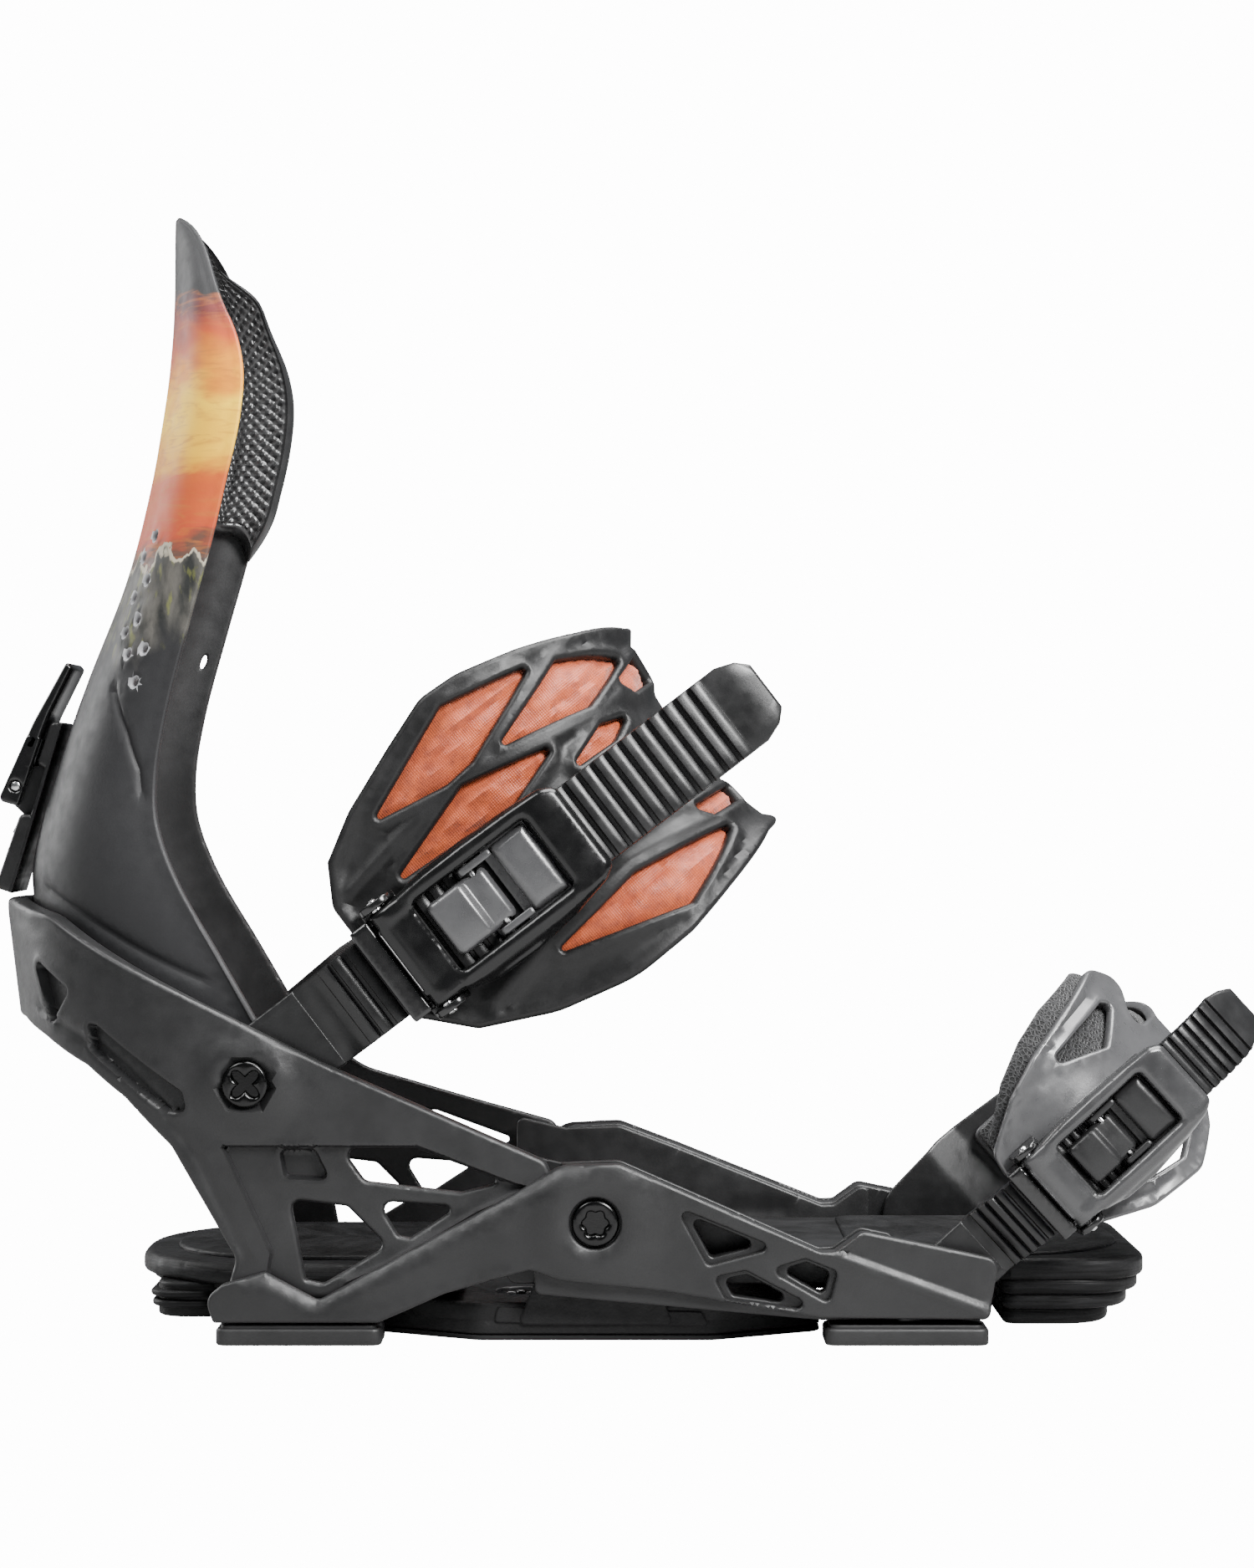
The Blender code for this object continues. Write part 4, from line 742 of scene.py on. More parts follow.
def build_chassis(looks):
    """Both rails, each of an outer layer, a web and an inner wall, and the two cross bridges."""
    parts = []
    for side, sign in SIDES.items():
        f = MEDIAL_FORWARD if side == "medial" else 0.0
        strut = [(-88, 18), (-83.5, 18.6), (-70, 11.4), (-20, 38.6), (-9, 45.5), (-3, 46)]
        ridge = [(46 + f, 28.5), (60 + f, 22.5), (99 + f, 7.8)]
        panel = [(58 + f, 25), (64 + f, 24.4), (68 + f, 31), (104 + f, 24), (101 + f, 9)]
        panel = np.array([*panel, (61 + f, 23.4)])

        def face(p, gap):
            r = np.hypot(p[:, 0], p[:, 1] - KINGPIN_Z)
            dome = 1.25 * (1 - smooth((r - 11) / 8)) - 0.7 * (1 - smooth((r - 7.2) / 1.2))
            bevel = 1.7 * (1 - smooth(line_distance(p, strut) / 3.4))
            low = 0.75 * smooth(signed(p, panel) / 1.0)
            rib = 0.45 * bump(line_distance(p, ridge), 1.3)
            channel = 0.5 * bump(line_distance(p, [(-66, 8.4), (-38, 16.6), (-14, 23.5)]), 1.2)
            return 59.45 + dome - bevel - low + rib - channel

        outer = [rail_outline(f), circle(0, KINGPIN_Z, 6.5), *rail_windows(0)]
        lines = [ridge, strut, [*panel, panel[0]]]
        outer = plate(outer, face, 56.35, 0.9, 0.2, lines=lines)
        parts.append(moved(outer, side_view(sign)))
        web = [web_outline(f), circle(0, KINGPIN_Z, KINGPIN_BORE), *rail_windows(1.6)]
        parts.append(moved(plate(web, 57.1, 51, 0.7, 0.5), side_view(sign)))
        cheek = [cheek_outline(f), circle(0, KINGPIN_Z, KINGPIN_BORE)]
        slot = np.array([(34.7, 19.6), (54.7, 19.6), (54.7, 25), (34.7, 25)])

        def inner(p, gap):
            return 44.2 + 0.7 * smooth(signed(p, slot) / 0.8)

        parts.append(moved(plate(cheek, 46.4, inner, 0.3, 0.6), side_view(sign)))
        parts.append(moved(plate([cap_outline(f)], 51.5, 45.9, 0.2, 0.2), side_view(sign)))
        foot = [(-95.5, sign * 51), (-60, sign * 51), (-60, sign * 57.4), (-95.5, sign * 57.4)]
        parts.append(plate([softened(foot, 1)], 10.7, 6.2, 0.3, 0.3))
    for low, high in ((-94.5, -62), (60.5, 78)):
        ends = [(low, -52), (high, -52), (high, 52), (low, 52)]
        middle = (low + high) / 2
        groove = [(middle, -44), (middle, 44)]

        def ribbed(p, gap):
            return 10.4 - 0.6 * bump(line_distance(p, groove), 3)

        parts.append(plate([softened(ends, 2)], ribbed, 6.8, 0.5, 0.5))
    make("chassis_frame", merged(*parts), looks["nylon"], "hanger", ["chassis"])


# ---------------------------------------------------------------- heel cup

BACK_U = -188.0
HEEL_X = -100.0
HEEL_ARC = 88.0
HEEL_REACH = 57.6
CUP_OUT = 56.0  # the cup's outer face, from the middle


def heel_bend(u, h, out):
    """Wraps the heel cup's flat pattern (u, height, distance out) round the heel."""
    side = np.where(u >= BACK_U, -1.0, 1.0)
    u = np.maximum(u, 2 * BACK_U - u)
    turn = np.clip((HEEL_X - u) / HEEL_ARC * np.pi / 2, 0, None)
    taper = np.maximum(0, 108 - h) * 0.13 * np.sin(turn) ** 2
    reach = HEEL_REACH - taper - (CUP_OUT - out)
    x = np.where(u >= HEEL_X, u, HEEL_X - reach * np.sin(turn))
    return x, side * out * np.cos(turn), h


def both_sides(points):
    """Points or corners of the lateral side, and their copy on the medial side of the flat pattern."""
    return [points, [(2 * BACK_U - p[0], *p[1:]) for p in points]]


def heel_outline():
    lateral = [(-70, 71.4, 3), (-100, 86.2, 20), (-145, 108, 20), (-168, 111.6, 10)]
    medial = [(-168, 111.6, 10), (-145, 108, 20), (-100, 86.2, 12), (-80, 70.5, 16)]
    medial += [(-66, 61.5, 20), (-37, 53, 4)]
    lower = [(-12.5, 46.2, 4), (-9, 37, 1), (-16, 28.6, 1), (-60, 11.1, 1), (-94, 11.1, 1), (-91, 21.5, 4)]
    lower += [(-107.5, 50, 8), (-120, 62, 10), (-132, 69.8, 6), (-150, 76.5, 8), (-166, 80.5, 12)]
    across = both_sides(medial + lower)[1]
    return rounded(lateral + across + lower[::-1], 5)


HEEL_WINDOWS = [
    [(-64.5, 49.4, 2), (-46, 49.4, 2), (-23, 41, 1), (-34, 38.2, 2), (-58.5, 41, 3)],
    [(-77.5, 36.4, 2), (-63, 34.6, 2), (-53, 24.6, 2), (-69, 15, 2), (-73.5, 16, 1)],
    [(-55.4, 36, 2), (-35, 34.4, 1), (-47, 26.6, 1), (-50, 27.2, 1)],
]
POCKETS = [
    [(-80.5, 49.4), (-71, 49.4), (-66.8, 41), (-79, 41.6)],
    [(-154, 98), (-137, 89), (-146, 79)],
    [(-131.4, 81), (-128, 80.5), (-104.5, 64), (-103.2, 58.2), (-108.6, 58.6), (-130.6, 73.6)],
]
LATTICE = [(-95, 50.4), (-45, 50.4), (-20, 40.8), (-6, 38), (-14, 26), (-60, 9), (-82, 9)]
LATTICE += [(-83.2, 19), (-82.5, 23)]


def build_heel_cup(looks):
    """The cup: sunk lattice sides with windows, pockets behind them, and a boss round each bolt."""
    windows = [softened(side, 1.5, 4) for w in HEEL_WINDOWS for side in both_sides(w)]
    bolts = [ANKLE[0], 2 * BACK_U - ANKLE[0]]
    holes = [circle(a, ANKLE[1], 3.35) for a in bolts]
    lattice = [np.array(p) for p in both_sides(LATTICE)]
    pockets = [softened(side, 1.8, 4) for w in POCKETS for side in both_sides(w)]
    bead = both_sides([(-64, 15.2), (-53, 20), (-30, 33.5), (-14, 40.5)])
    band = both_sides([(-152, 84), (-133, 77), (-121, 69.5), (-110, 60), (-101, 48), (-88.5, 22)])

    def face(p, gap):
        level = np.full(len(p), CUP_OUT)
        for area in lattice:
            level -= 2.0 * smooth(signed(p, area) / 0.8)
        for area in pockets:
            depth = signed(p, area)
            level += 0.25 * bump(depth + 0.8, 0.8) - 2.7 * smooth(depth / 0.8)
        for line in bead:
            level += 0.9 * bump(line_distance(p, line), 1.1)
        for line in band:
            level += 0.4 * smooth((line_distance(p, line) - 0.6) / 0.8) - 0.4
        for bolt in bolts:
            r = np.hypot(p[:, 0] - bolt, p[:, 1] - ANKLE[1])
            level += 2.3 * (1 - smooth((r - 7.5) / 8)) * smooth((r - 6.1) / 0.9)
        for edge in both_sides([(-72, 68.5), (-100, 82.5), (-145, 104), (-166, 107.5)]):
            level -= 0.35 * bump(line_distance(p, edge), 0.9)
        return level

    steps = [*bead, *band, *[[*area, area[0]] for area in lattice + pockets]]
    cup = plate([heel_outline(), *windows, *holes], face, 51, 1.3, 0.7, 1.5, 2.3, lines=steps)
    make("heel_cup_shell", moved(cup, heel_bend), looks["nylon"], "hanger", ["heel_cup"])


# ---------------------------------------------------------------- footbeds and bushings


def heel_plan(back, half, front):
    return rounded([(back, -half, half), (front, -half, 3), (front, half, 3), (back, half, half)], 16)


def toe_plan(front, half, back, neck=False):
    """Outline of a layer of the toe ramp. With a neck it is narrower between the rails."""
    side = [(back, -half, 4), (front, -half, 44)]
    if neck:
        side = [(back, -43, 4), (103.5, -43), (106.5, -half, 2), (front, -half, 44)]
    return rounded(side + [(p[0], -p[1], *p[2:]) for p in side[::-1]], 16)


def build_footbeds(looks):
    """The heel footbed and the toe ramp, each of stacked foam layers under a tread."""

    def grip(p, gap):
        """Raised chevrons on the tread."""
        wave = np.abs(((p[:, 0] + 0.5 * np.abs(p[:, 1])) / 9) % 1 - 0.5) * 2
        return 0.5 * smooth((wave - 0.45) / 0.2) * smooth((gap - 3) / 1.5)

    def tread(top):
        return lambda p, gap: top - 0.5 + grip(p, gap)

    def bumpy(top, wave):
        return lambda p, gap: top - 0.25 + 0.25 * np.sin(p[:, 0] / wave) * np.sin(p[:, 1] / wave)

    heel = [
        plate([heel_plan(-121, 45, -34)], 18.6, 12.95, 2.8, 1.2),
        plate([heel_plan(-112, 36, -40)], tread(20.3), 17, 1.0, 0.3),
        plate([heel_plan(-118.5, 42.5, -34)], bumpy(14, 1.3), 11.35, 0.8, 0.6),
        plate([heel_plan(-114, 37, -97)], 13, 4, 0.8, 0.8),
        plate([heel_plan(-115.4, 38.2, -99)], 8.4, 6.6, 0.8, 0.8),
        plate([heel_plan(-115.8, 38.6, -99)], 10.9, 9.2, 0.8, 0.8),
    ]
    make("heel_footbed_foam", merged(*heel), looks["foam"], "hanger", ["heel_footbed"])
    toe = [
        plate([toe_plan(142.6, 44.5, 34, True)], 20.2, 14.4, 1.8, 1.5),
        plate([toe_plan(138.5, 40, 66)], tread(21.6), 19, 1.0, 0.3),
        plate([toe_plan(141.2, 44, 104)], 15.2, 10.8, 1.5, 1.5),
        plate([toe_plan(138.4, 42.6, 104.4)], 11.4, 6.8, 1.6, 1.6),
        plate([toe_plan(133.6, 39.4, 104.8)], 7.4, 2.4, 1.7, 1.7),
        plate([toe_plan(132, 38, 105.2)], 15, 4, 0.5, 0.5),
    ]
    make("toe_ramp_foam", merged(*toe), looks["foam"], "hanger", ["toe_ramp"])


def build_bushings(looks):
    """The four rubber feet under the rails, each a body with a raised lip."""
    for end, start, stop in (("heel", -96, -54), ("toe", 58, 99.5)):
        for side, sign in SIDES.items():
            last = stop + (MEDIAL_FORWARD if (end, side) == ("toe", "medial") else 0)
            corners = [(start, 43), (last, 43), (last, 59), (start, 59)]
            body = plate([softened([(a, sign * b) for a, b in corners], 2.5)], 4.4, 0, 0.9, 0.7)
            inner = [(start + 1.2, 44), (last - 1.2, 44), (last - 1.2, 58.2), (start + 1.2, 58.2)]
            lip = plate([softened([(a, sign * b) for a, b in inner], 2)], 5.2, 3.2, 0.4, 0.4)
            name = f"bushing_{end}_{side}"
            make(f"{name}_rubber", merged(body, lip), looks["rubber"], "hanger", [name])


# ---------------------------------------------------------------- highback

# The highback's outer surface by height: its spine, the front edge of its wings, and half its width.
SPINE = [(57, -145.5), (80, -148), (95, -149.8), (113, -151.4), (119, -151.6), (148, -144), (168, -137)]
SPINE += [(196, -126), (221, -119.5), (235, -117), (250, -114.8), (268, -113.4), (293.5, -113.6)]
WING = [(57, -84), (66, -79.5), (75, -83), (84, -88), (97, -95.5), (117, -107), (132, -112.4)]
WING += [(144, -112.9), (160, -110.4), (186, -103.6), (204, -98.6), (218, -95.2), (236, -91.2)]
WING += [(248, -90.4), (257, -92.2), (268, -97), (285, -103.6), (290, -107.4), (293.5, -112)]
HALF = [(57, 47.9), (90, 47.9), (117, 46), (145, 42.5), (200, 44), (245, 45), (258, 42.5)]
HALF += [(268, 38), (280, 30), (287, 22), (291, 14), (293.5, 7)]
FOOT = [(0, 100), (0.45, 99), (0.62, 95), (0.76, 86), (0.86, 74), (0.92, 60), (0.96, 57), (1, 57)]
SPREAD = 75.0  # width of half the highback's flat pattern
HIGHBACK_T = 2.9
WING_CURVE = 0.85  # below 1 the section is squarer than an ellipse


def highback_at(share, h, depth):
    """A point of the highback: share is -1 at the lateral wing and 1 at the medial one, and depth
    is the distance inside the outer surface."""
    wing, spine = curve_through(WING, h), curve_through(SPINE, h)
    turn = share * np.pi / 2
    reach = np.maximum(wing - spine - depth, 0.5)
    x = wing - reach * np.maximum(np.cos(turn), 0) ** WING_CURVE
    return x, (curve_through(HALF, h) - depth) * np.sin(turn), h


def on_highback(a, h, out):
    return highback_at(np.clip(a / SPREAD, -1, 1), h, -out)


def seen_at(x, h):
    """Where on the flat pattern the outer surface has that x at that height, on the lateral side."""
    wing, spine = curve_through(WING, h), curve_through(SPINE, h)
    share = np.clip((wing - x) / (wing - spine), 0, 1) ** (1 / WING_CURVE)
    return -np.arccos(share) / (np.pi / 2) * SPREAD


def seen_line(pairs):
    return [(float(seen_at(x, h)), h) for x, h in pairs]


def oval(a, h, wide, high, sides=16):
    turn = np.linspace(0, 2 * np.pi, sides, endpoint=False)
    return np.stack([a + wide * np.cos(turn), h + high * np.sin(turn)], 1)


VENTS = [(-114.4, 206), (-117.9, 200.5), (-116.3, 194.5), (-120.2, 190), (-118.7, 184.2), (-122.3, 181)]
VENTS += [(-121.2, 175.3), (-116.5, 176.5), (-119, 168)]


def build_highback(looks):
    """The shell, painted outside, bare inside, with painted light on the walls of its vents."""
    shares = np.linspace(-1, 1, 61)
    foot = [(s * SPREAD, float(curve_through(FOOT, abs(s)))) for s in shares]
    outline = np.array([*foot, (SPREAD, 292.6), (-SPREAD, 292.6)])
    vents = [oval(float(seen_at(x, h)), h, 1.35, 1.0) for x, h in VENTS]
    vents.append(oval(69, 176, 1.2, 1.9))
    holes = [oval(sign * 70.5, ANKLE[1], 1.97, 3.35, 20) for sign in (1, -1)]
    crease = seen_line([(-125, 166), (-121, 155), (-117.6, 145.5), (-116.9, 139.4)])
    groove = seen_line([(-144, 114.5), (-134, 109), (-125, 103.5), (-101, 91.8)])
    lines = [[(sign * a, h) for a, h in line] for line in (crease, groove) for sign in (1, -1)]

    def face(p, gap):
        """The crease below the painting, the groove over the heel cup, and the wings' raised rims."""
        share, h = np.abs(p[:, 0]) / SPREAD, p[:, 1]
        wing, spine = curve_through(WING, h), curve_through(SPINE, h)
        inward = (wing - spine) * np.cos(share * np.pi / 2) ** WING_CURVE
        level = -0.5 + 0.5 * (1 - smooth((inward - 1.2) / 0.8))
        for k, line in enumerate(lines):
            level -= (0.9 if k < 2 else 0.7) * bump(line_distance(p, line), 1.0 if k < 2 else 1.3)
        level += 0.45 * bump(gap - 1.6, 0.9) * (h > 150) * (h < 212) * (share < 0.9)
        return level

    def inner(p, gap):
        return np.full(len(p), -HIGHBACK_T)

    shell = plate([outline, *vents, *holes], face, inner, 0.8, 0.8, 1.6, 2.2, lines=lines)
    made = make("highback_shell", moved(shell, on_highback), looks["paint"], "back", ["highback"])
    made.data.materials.append(looks["bare_highback"])
    made.data.materials.append(looks["vent_painted_light"])
    centres = [Vector(highback_at(seen_at(x, h) / SPREAD, h, 1.3)) * MM for x, h in VENTS]
    for polygon in made.data.polygons:
        z = polygon.center.z
        from_axis = polygon.center - Vector((float(curve_through(WING, z / MM)) * MM, 0, z))
        if polygon.normal.dot(from_axis) < 0.2 * from_axis.length:
            polygon.material_index = 1
        # Faces round each vent take the light grey: painted light in the vents.
        if min((polygon.center - centre).length for centre in centres) < 2.15 * MM:
            polygon.material_index = 2


PAD_SIDE = 0.96  # share of the highback's half width that the pad covers
PAD_TOP = 289.5
QUILT = 2.9  # spacing of the quilting's lines, measured along the arc and the height


def build_pad(looks):
    """The rubber cushion: a quilted inner face of staggered diamonds inside a plain border."""
    columns, rows = 280, 160
    column = np.linspace(-PAD_SIDE, PAD_SIDE, columns)[None, :]
    bottom = 204 + 7.4 * smooth((PAD_SIDE - np.abs(column)) / 0.18)
    height = bottom + (PAD_TOP - bottom) * np.linspace(0, 1, rows)[:, None]
    share = column * (1 - 0.3 * smooth((height - 272) / 17.5))
    swell = np.sin(np.pi * np.clip(np.minimum((height - 199) / 40, (297 - height) / 45), 0, 0.5))
    forward = np.where(share > 0, 7.0, 0.9) * swell * smooth((np.abs(share) - 0.7) / 0.24)
    start = HIGHBACK_T + 2.5 * GAP
    outer = np.stack(highback_at(share, height, start), -1)
    edge = np.minimum(height - bottom, PAD_TOP - height)
    edge = np.minimum(edge, (PAD_SIDE - np.abs(column)) * 46)
    half_turn = share * np.pi / 2
    arc = np.sign(share) * (25 * (1 - np.cos(half_turn)) + 44 * np.abs(np.sin(half_turn)))
    rising = np.abs(((arc + height) / QUILT) % 1 - 0.5)
    falling = np.abs(((arc - height) / QUILT) % 1 - 0.5)
    cell = 2 * np.maximum(rising, falling)
    quilt = 1.0 * (1 - cell) * smooth((edge - 2.9) / 0.5)
    border = 0.5 * smooth(edge / 0.5) * (1 - smooth((edge - 2.2) / 0.5))
    thick = (1.2 + 3.6 * swell) * (0.2 + 0.8 * np.sqrt(np.clip(edge / 2.4, 0, 1)))
    depth = start + np.maximum(thick - 0.9 + quilt + border, 0.4)
    inner = np.stack(highback_at(share, height, depth), -1)
    outer[..., 0] += forward
    inner[..., 0] += forward
    make("highback_pad_cushion", sheet(outer, inner), looks["pad_rubber"], "back",
         ["highback_pad"])


LEAN = math.radians(16.6)
LEAN_FOOT = (-154.6, 113.6)


def lean_place(points):
    """From the lean block's own axes, behind the spine, across and up it, to the row frame."""
    c, s = math.cos(LEAN), math.sin(LEAN)
    out, across, up = points[:, 0], points[:, 1], points[:, 2]
    x = LEAN_FOOT[0] - c * out + s * up
    return np.stack([x, -across, LEAN_FOOT[1] + s * out + c * up], 1)


def lean_slab(outline, low, high, rim=0.8, holes=()):
    """A part from its side view in the lean block's axes, between two distances across it."""
    points, faces = plate([outline, *holes], high, low, rim, rim, 1.0, 1.8)
    return lean_place(points[:, [0, 2, 1]]), faces


def build_lean(looks):
    """The forward-lean block, its pin and the forked flip lever on the pin."""
    pin = circle(8, 26.5, 1.55, 20)
    lower = rounded([(0.5, -1, 0.4), (5.4, -1, 1.5), (4.6, 20, 3), (1.6, 20.5, 0.5), (0.5, 20, 0.3)])
    upper = rounded([(0.5, 33.4, 0.3), (1.6, 33.2, 0.5), (3.9, 34, 1), (3.6, 46, 1.5), (0.5, 46, 1)])
    back = rounded([(0.5, -1, 0.3), (1.6, -1, 0.3), (1.6, 46, 0.3), (0.5, 46, 0.3)])
    lug = rounded([(1, 18), (10.5, 23, 2.5), (10.5, 30, 2.5), (1, 35)])
    parts = [lean_slab(lower, -12, 12, 1.2), lean_slab(upper, -12, 12, 1.0), lean_slab(back, -12, 12, 0.3)]
    for near in (-7.0, 5.4):
        parts.append(lean_slab(lug, near, near + 1.6, 0.3, [pin]))
    for level in (4, 9, 14):
        tooth = [(4.4, level, 0.3), (5.5, level + 0.4, 0.3), (5.1, level + 2.4, 0.3), (4.2, level + 3)]
        tooth = rounded(tooth)
        parts.append(lean_slab(tooth, -9, 9, 0.4))
    make("lean_block_body", merged(*parts), looks["fine_nylon"], "lean_slider", ["lean_block"])
    rod = lathe([(-10.6, 0.9), (-10.3, 1.3), (10.3, 1.3), (10.6, 0.9)], 24)
    points = rod[0][:, [0, 2, 1]] + np.array([8, 0, 26.5])
    make("lean_pin_body", (lean_place(points), rod[1]), looks["steel"], "lean_slider",
         ["lean_pin"])
    waist = [(5.4, 36.4, 0.6), (9.4, 36.4, 0.6), (8.4, 44, 9), (4.4, 62.4, 1.2), (2.2, 61, 1)]
    waist = rounded([*waist, (4.6, 47, 6)])
    blade = [(5.6, 21.6, 1), (11.4, 21.4, 1.5), (9.2, 38, 9), (8.8, 41, 4), (5, 41, 1)]
    blade = rounded([*blade, (5.3, 33, 6)])
    lever = [lean_slab(waist, -11, 11, 1.2)]
    for low, high in ((-11, -7.4), (-5, 5), (7.4, 11)):
        lever.append(lean_slab(blade, low, high, 0.7, [pin]))
    make("lean_lever_blade", merged(*lever), looks["gloss_nylon"], "lean_latch",
         ["lean_lever"])


# ---------------------------------------------------------------- straps


EYE_OUT = 48.2  # inner face of the strap ends at their bolts, from the middle
LADDER_ROOM = 2.1  # between the buckle's seat and the ladder's underside
LADDER_T = 2.2  # the ladder's thickness under its teeth


class Strap:
    """One strap's sizes. Its frame runs up along the strap from its bolts, across it, and out to the
    lateral side; its arch is straight beside the boot, then half an ellipse over the top."""

    def __init__(self, name, **sizes):
        self.name = name
        self.__dict__.update(sizes)
        a, b = self.crest - self.shoulder, self.half
        h = ((a - b) / (a + b)) ** 2
        self.quarter = math.pi / 4 * (a + b) * (1 + 3 * h / (10 + math.sqrt(4 - 3 * h)))
        self.top = self.shoulder + self.quarter
        self.ladder_top = self.half + LADDER_ROOM + LADDER_T + self.tooth

    def place(self, along, across, out):
        """From the strap's frame to the row frame."""
        c, s = math.cos(self.slope), math.sin(self.slope)
        x, z = self.origin
        return x + c * along - s * across, -out, z + s * along + c * across

    def bend(self, s, across, out):
        """Wraps the flat pattern over the boot, from the lateral bolt to the medial one."""
        side = np.where(s <= self.top, 1.0, -1.0)
        s = np.minimum(s, 2 * self.top - s)
        turn = np.clip((s - self.shoulder) / self.quarter * np.pi / 2, 0, None)
        dip = self.dip * np.maximum(0, 1 - ((across - 3) / 32) ** 2)
        over = self.shoulder + (self.crest - dip - self.shoulder + out) * np.sin(turn)
        along = np.where(s <= self.shoulder, s, over)
        return self.place(along, across, side * (self.half + out) * np.cos(turn))

    def flat(self, corners):
        """Side-view corners moved onto the flat pattern, past the shoulder."""
        moved_on = []
        for corner in corners:
            seen = corner[0]
            if seen > self.shoulder:
                share = min((seen - self.shoulder) / (self.crest - self.shoulder), 1.0)
                seen = self.shoulder + math.asin(share) / (math.pi / 2) * self.quarter
            moved_on.append((seen, *corner[1:]))
        return moved_on

    def over(self, corners):
        """Corners of the flat pattern on the medial side."""
        return [(2 * self.top - p[0], *p[1:]) for p in corners]

    def pattern(self, lateral, medial):
        near, far = self.flat(lateral), self.over(self.flat(medial))
        front, far_front = [p for p in near if p[1] < 0], [p for p in far if p[1] < 0]
        rear, far_rear = [p for p in near if p[1] >= 0], [p for p in far if p[1] >= 0]
        return rounded(front + far_front[::-1] + far_rear[::-1] + rear, 5)

    def ladder_line(self, s):
        """Distance out of the underside of the ladder."""
        start, end = self.rise
        t = smooth((s - start) / (end - start))
        free = self.buckle + 60 * self.scale + 3 * self.pitch
        curl = self.curl * (np.maximum(s - free, 0) / (self.tip - free)) ** 2
        return EYE_OUT + (self.half + LADDER_ROOM - EYE_OUT) * t - curl

    def at(self, along):
        return self.buckle + along * self.scale

    def up(self, over):
        return self.ladder_top + over * self.scale


ANKLE_STRAP = Strap(
    "ankle",
    slope=math.radians(37.4),
    origin=ANKLE,
    half=53.0,
    shoulder=92.0,
    crest=149.0,
    dip=5.0,
    curl=5.0,
    shell_t=3.0,
    liner_t=4.2,
    ladder_half=11.5,
    pitch=4.4,
    tooth=1.4,
    rise=(23.5, 37.0),
    teeth=(31.0, 28),
    tip=166.0,
    eye_r=3.0,
    eye_back=12.0,
    buckle=44.0,
    scale=1.0,
    screw_at=54.0,
    connector=(26.0, 40.0, 77.0),
    blocks="satin_grey",
)
TOE_STRAP = Strap(
    "toe",
    slope=math.radians(42.5),
    origin=TOE,
    half=53.0,
    shoulder=44.0,
    crest=90.5,
    dip=0.0,
    curl=12.0,
    shell_t=2.6,
    liner_t=2.6,
    ladder_half=8.8,
    pitch=2.7,
    tooth=1.1,
    rise=(15.5, 28.0),
    teeth=(17.5, 30),
    tip=106.0,
    eye_r=2.4,
    eye_back=6.5,
    buckle=31.0,
    scale=0.8,
    screw_at=38.0,
    connector=(19.5, 30.0, 56.0),
    blocks="fine_nylon",
)
ANKLE_EDGE = [(44, -13, 3), (55, -25, 6), (74, -34, 30), (95, -39, 40), (114, -38.5, 20), (129, -35.5)]
ANKLE_EDGE += [(146, -31, 20), (148, 35, 20), (137, 41), (122, 46.5), (105, 50.5, 20), (94, 51, 10)]
ANKLE_EDGE += [(80, 46), (62, 39, 20), (50, 32), (44, 22, 6), (44, 12)]
ANKLE_WINDOWS = [
    [(65, 33), (86, 29.3), (95, 30), (122, 41), (97, 46)],
    [(102, 28.8), (130, 23.4), (144, 28.6), (128, 38)],
    [(59, 17), (98, 15.2), (116, 20.8), (89, 26.6)],
    [(114, 12.8), (130, 18), (138, 15.6), (131, 12.4)],
    [(140, 24.6), (147.6, 27.5), (148.6, 19.6), (143, 19.6)],
    [(136, -13.5), (147.6, -15), (147, -19.6), (139, -18.4)],
    [(81, -21.6), (112, -17.6), (141, -23.2), (118, -32.6)],
]
ANKLE_VEINS = [
    [(50, 22), (66, 25), (90, 28), (103, 25.5), (130, 20.8), (139, 21.5)],
    [(103, 25.5), (120, 37), (134, 41)],
    [(62, -22), (83, -18), (113, -15), (145, -20)],
]
TOE_EDGE = [(32, -10, 2), (40, -15, 4), (54, -21.7, 12), (70, -24.2, 8), (79.5, -19.3, 5), (85, -12.7, 3)]
TOE_EDGE += [(89, -7, 3), (89, 9, 3), (80.5, 12, 3), (88.5, 22.5, 4), (84, 31.5, 8), (67.7, 29, 10)]
TOE_EDGE += [(57, 27.4), (45, 23.5), (32, 16, 6), (31, 10)]
TOE_MEDIAL = [(32, -10, 2), (40, -16, 4), (57, -22.4, 12), (70, -24.6, 10), (80, -19, 8), (89, -9, 6)]
TOE_MEDIAL += [(89, 12, 6), (80, 15, 8), (70, 14), (57, 10.5, 10), (44, 9), (32, 9, 3)]
TOE_WINDOWS = [
    [(56.5, 23), (73, 15), (82, 21), (80, 23.4), (70, 23.6)],
    [(53, -14.6), (66, -10.8), (79, -12.6), (68, -18.4)],
]


def build_ankle_shell(looks):
    """Soft rubber shell: raised rounded ribs round its windows and along its edges."""
    strap = ANKLE_STRAP
    rim = strap.pattern(ANKLE_EDGE, ANKLE_EDGE)
    windows = [strap.flat(w) for w in ANKLE_WINDOWS]
    windows += [strap.over(w) for w in windows]
    holes = [softened(w, 0.8, 4) for w in windows]
    veins = [strap.flat(line) for line in ANKLE_VEINS]
    veins += [strap.over(line) for line in veins]

    def face(p, gap):
        rib = 1 - smooth((gap - 1.6) / 2.8)
        for line in veins:
            rib = np.maximum(rib, 1 - smooth((line_distance(p, line) - 0.8) / 2.8))
        return -1.6 + 1.6 * rib

    shell = plate([rim, *holes], face, -strap.shell_t, 1.5, 0.5, 1.5, 2.0, lines=veins)
    make("ankle_strap_cover", moved(shell, strap.bend), looks["strap_rubber"], "ankle_strap",
         ["ankle_strap_shell"])


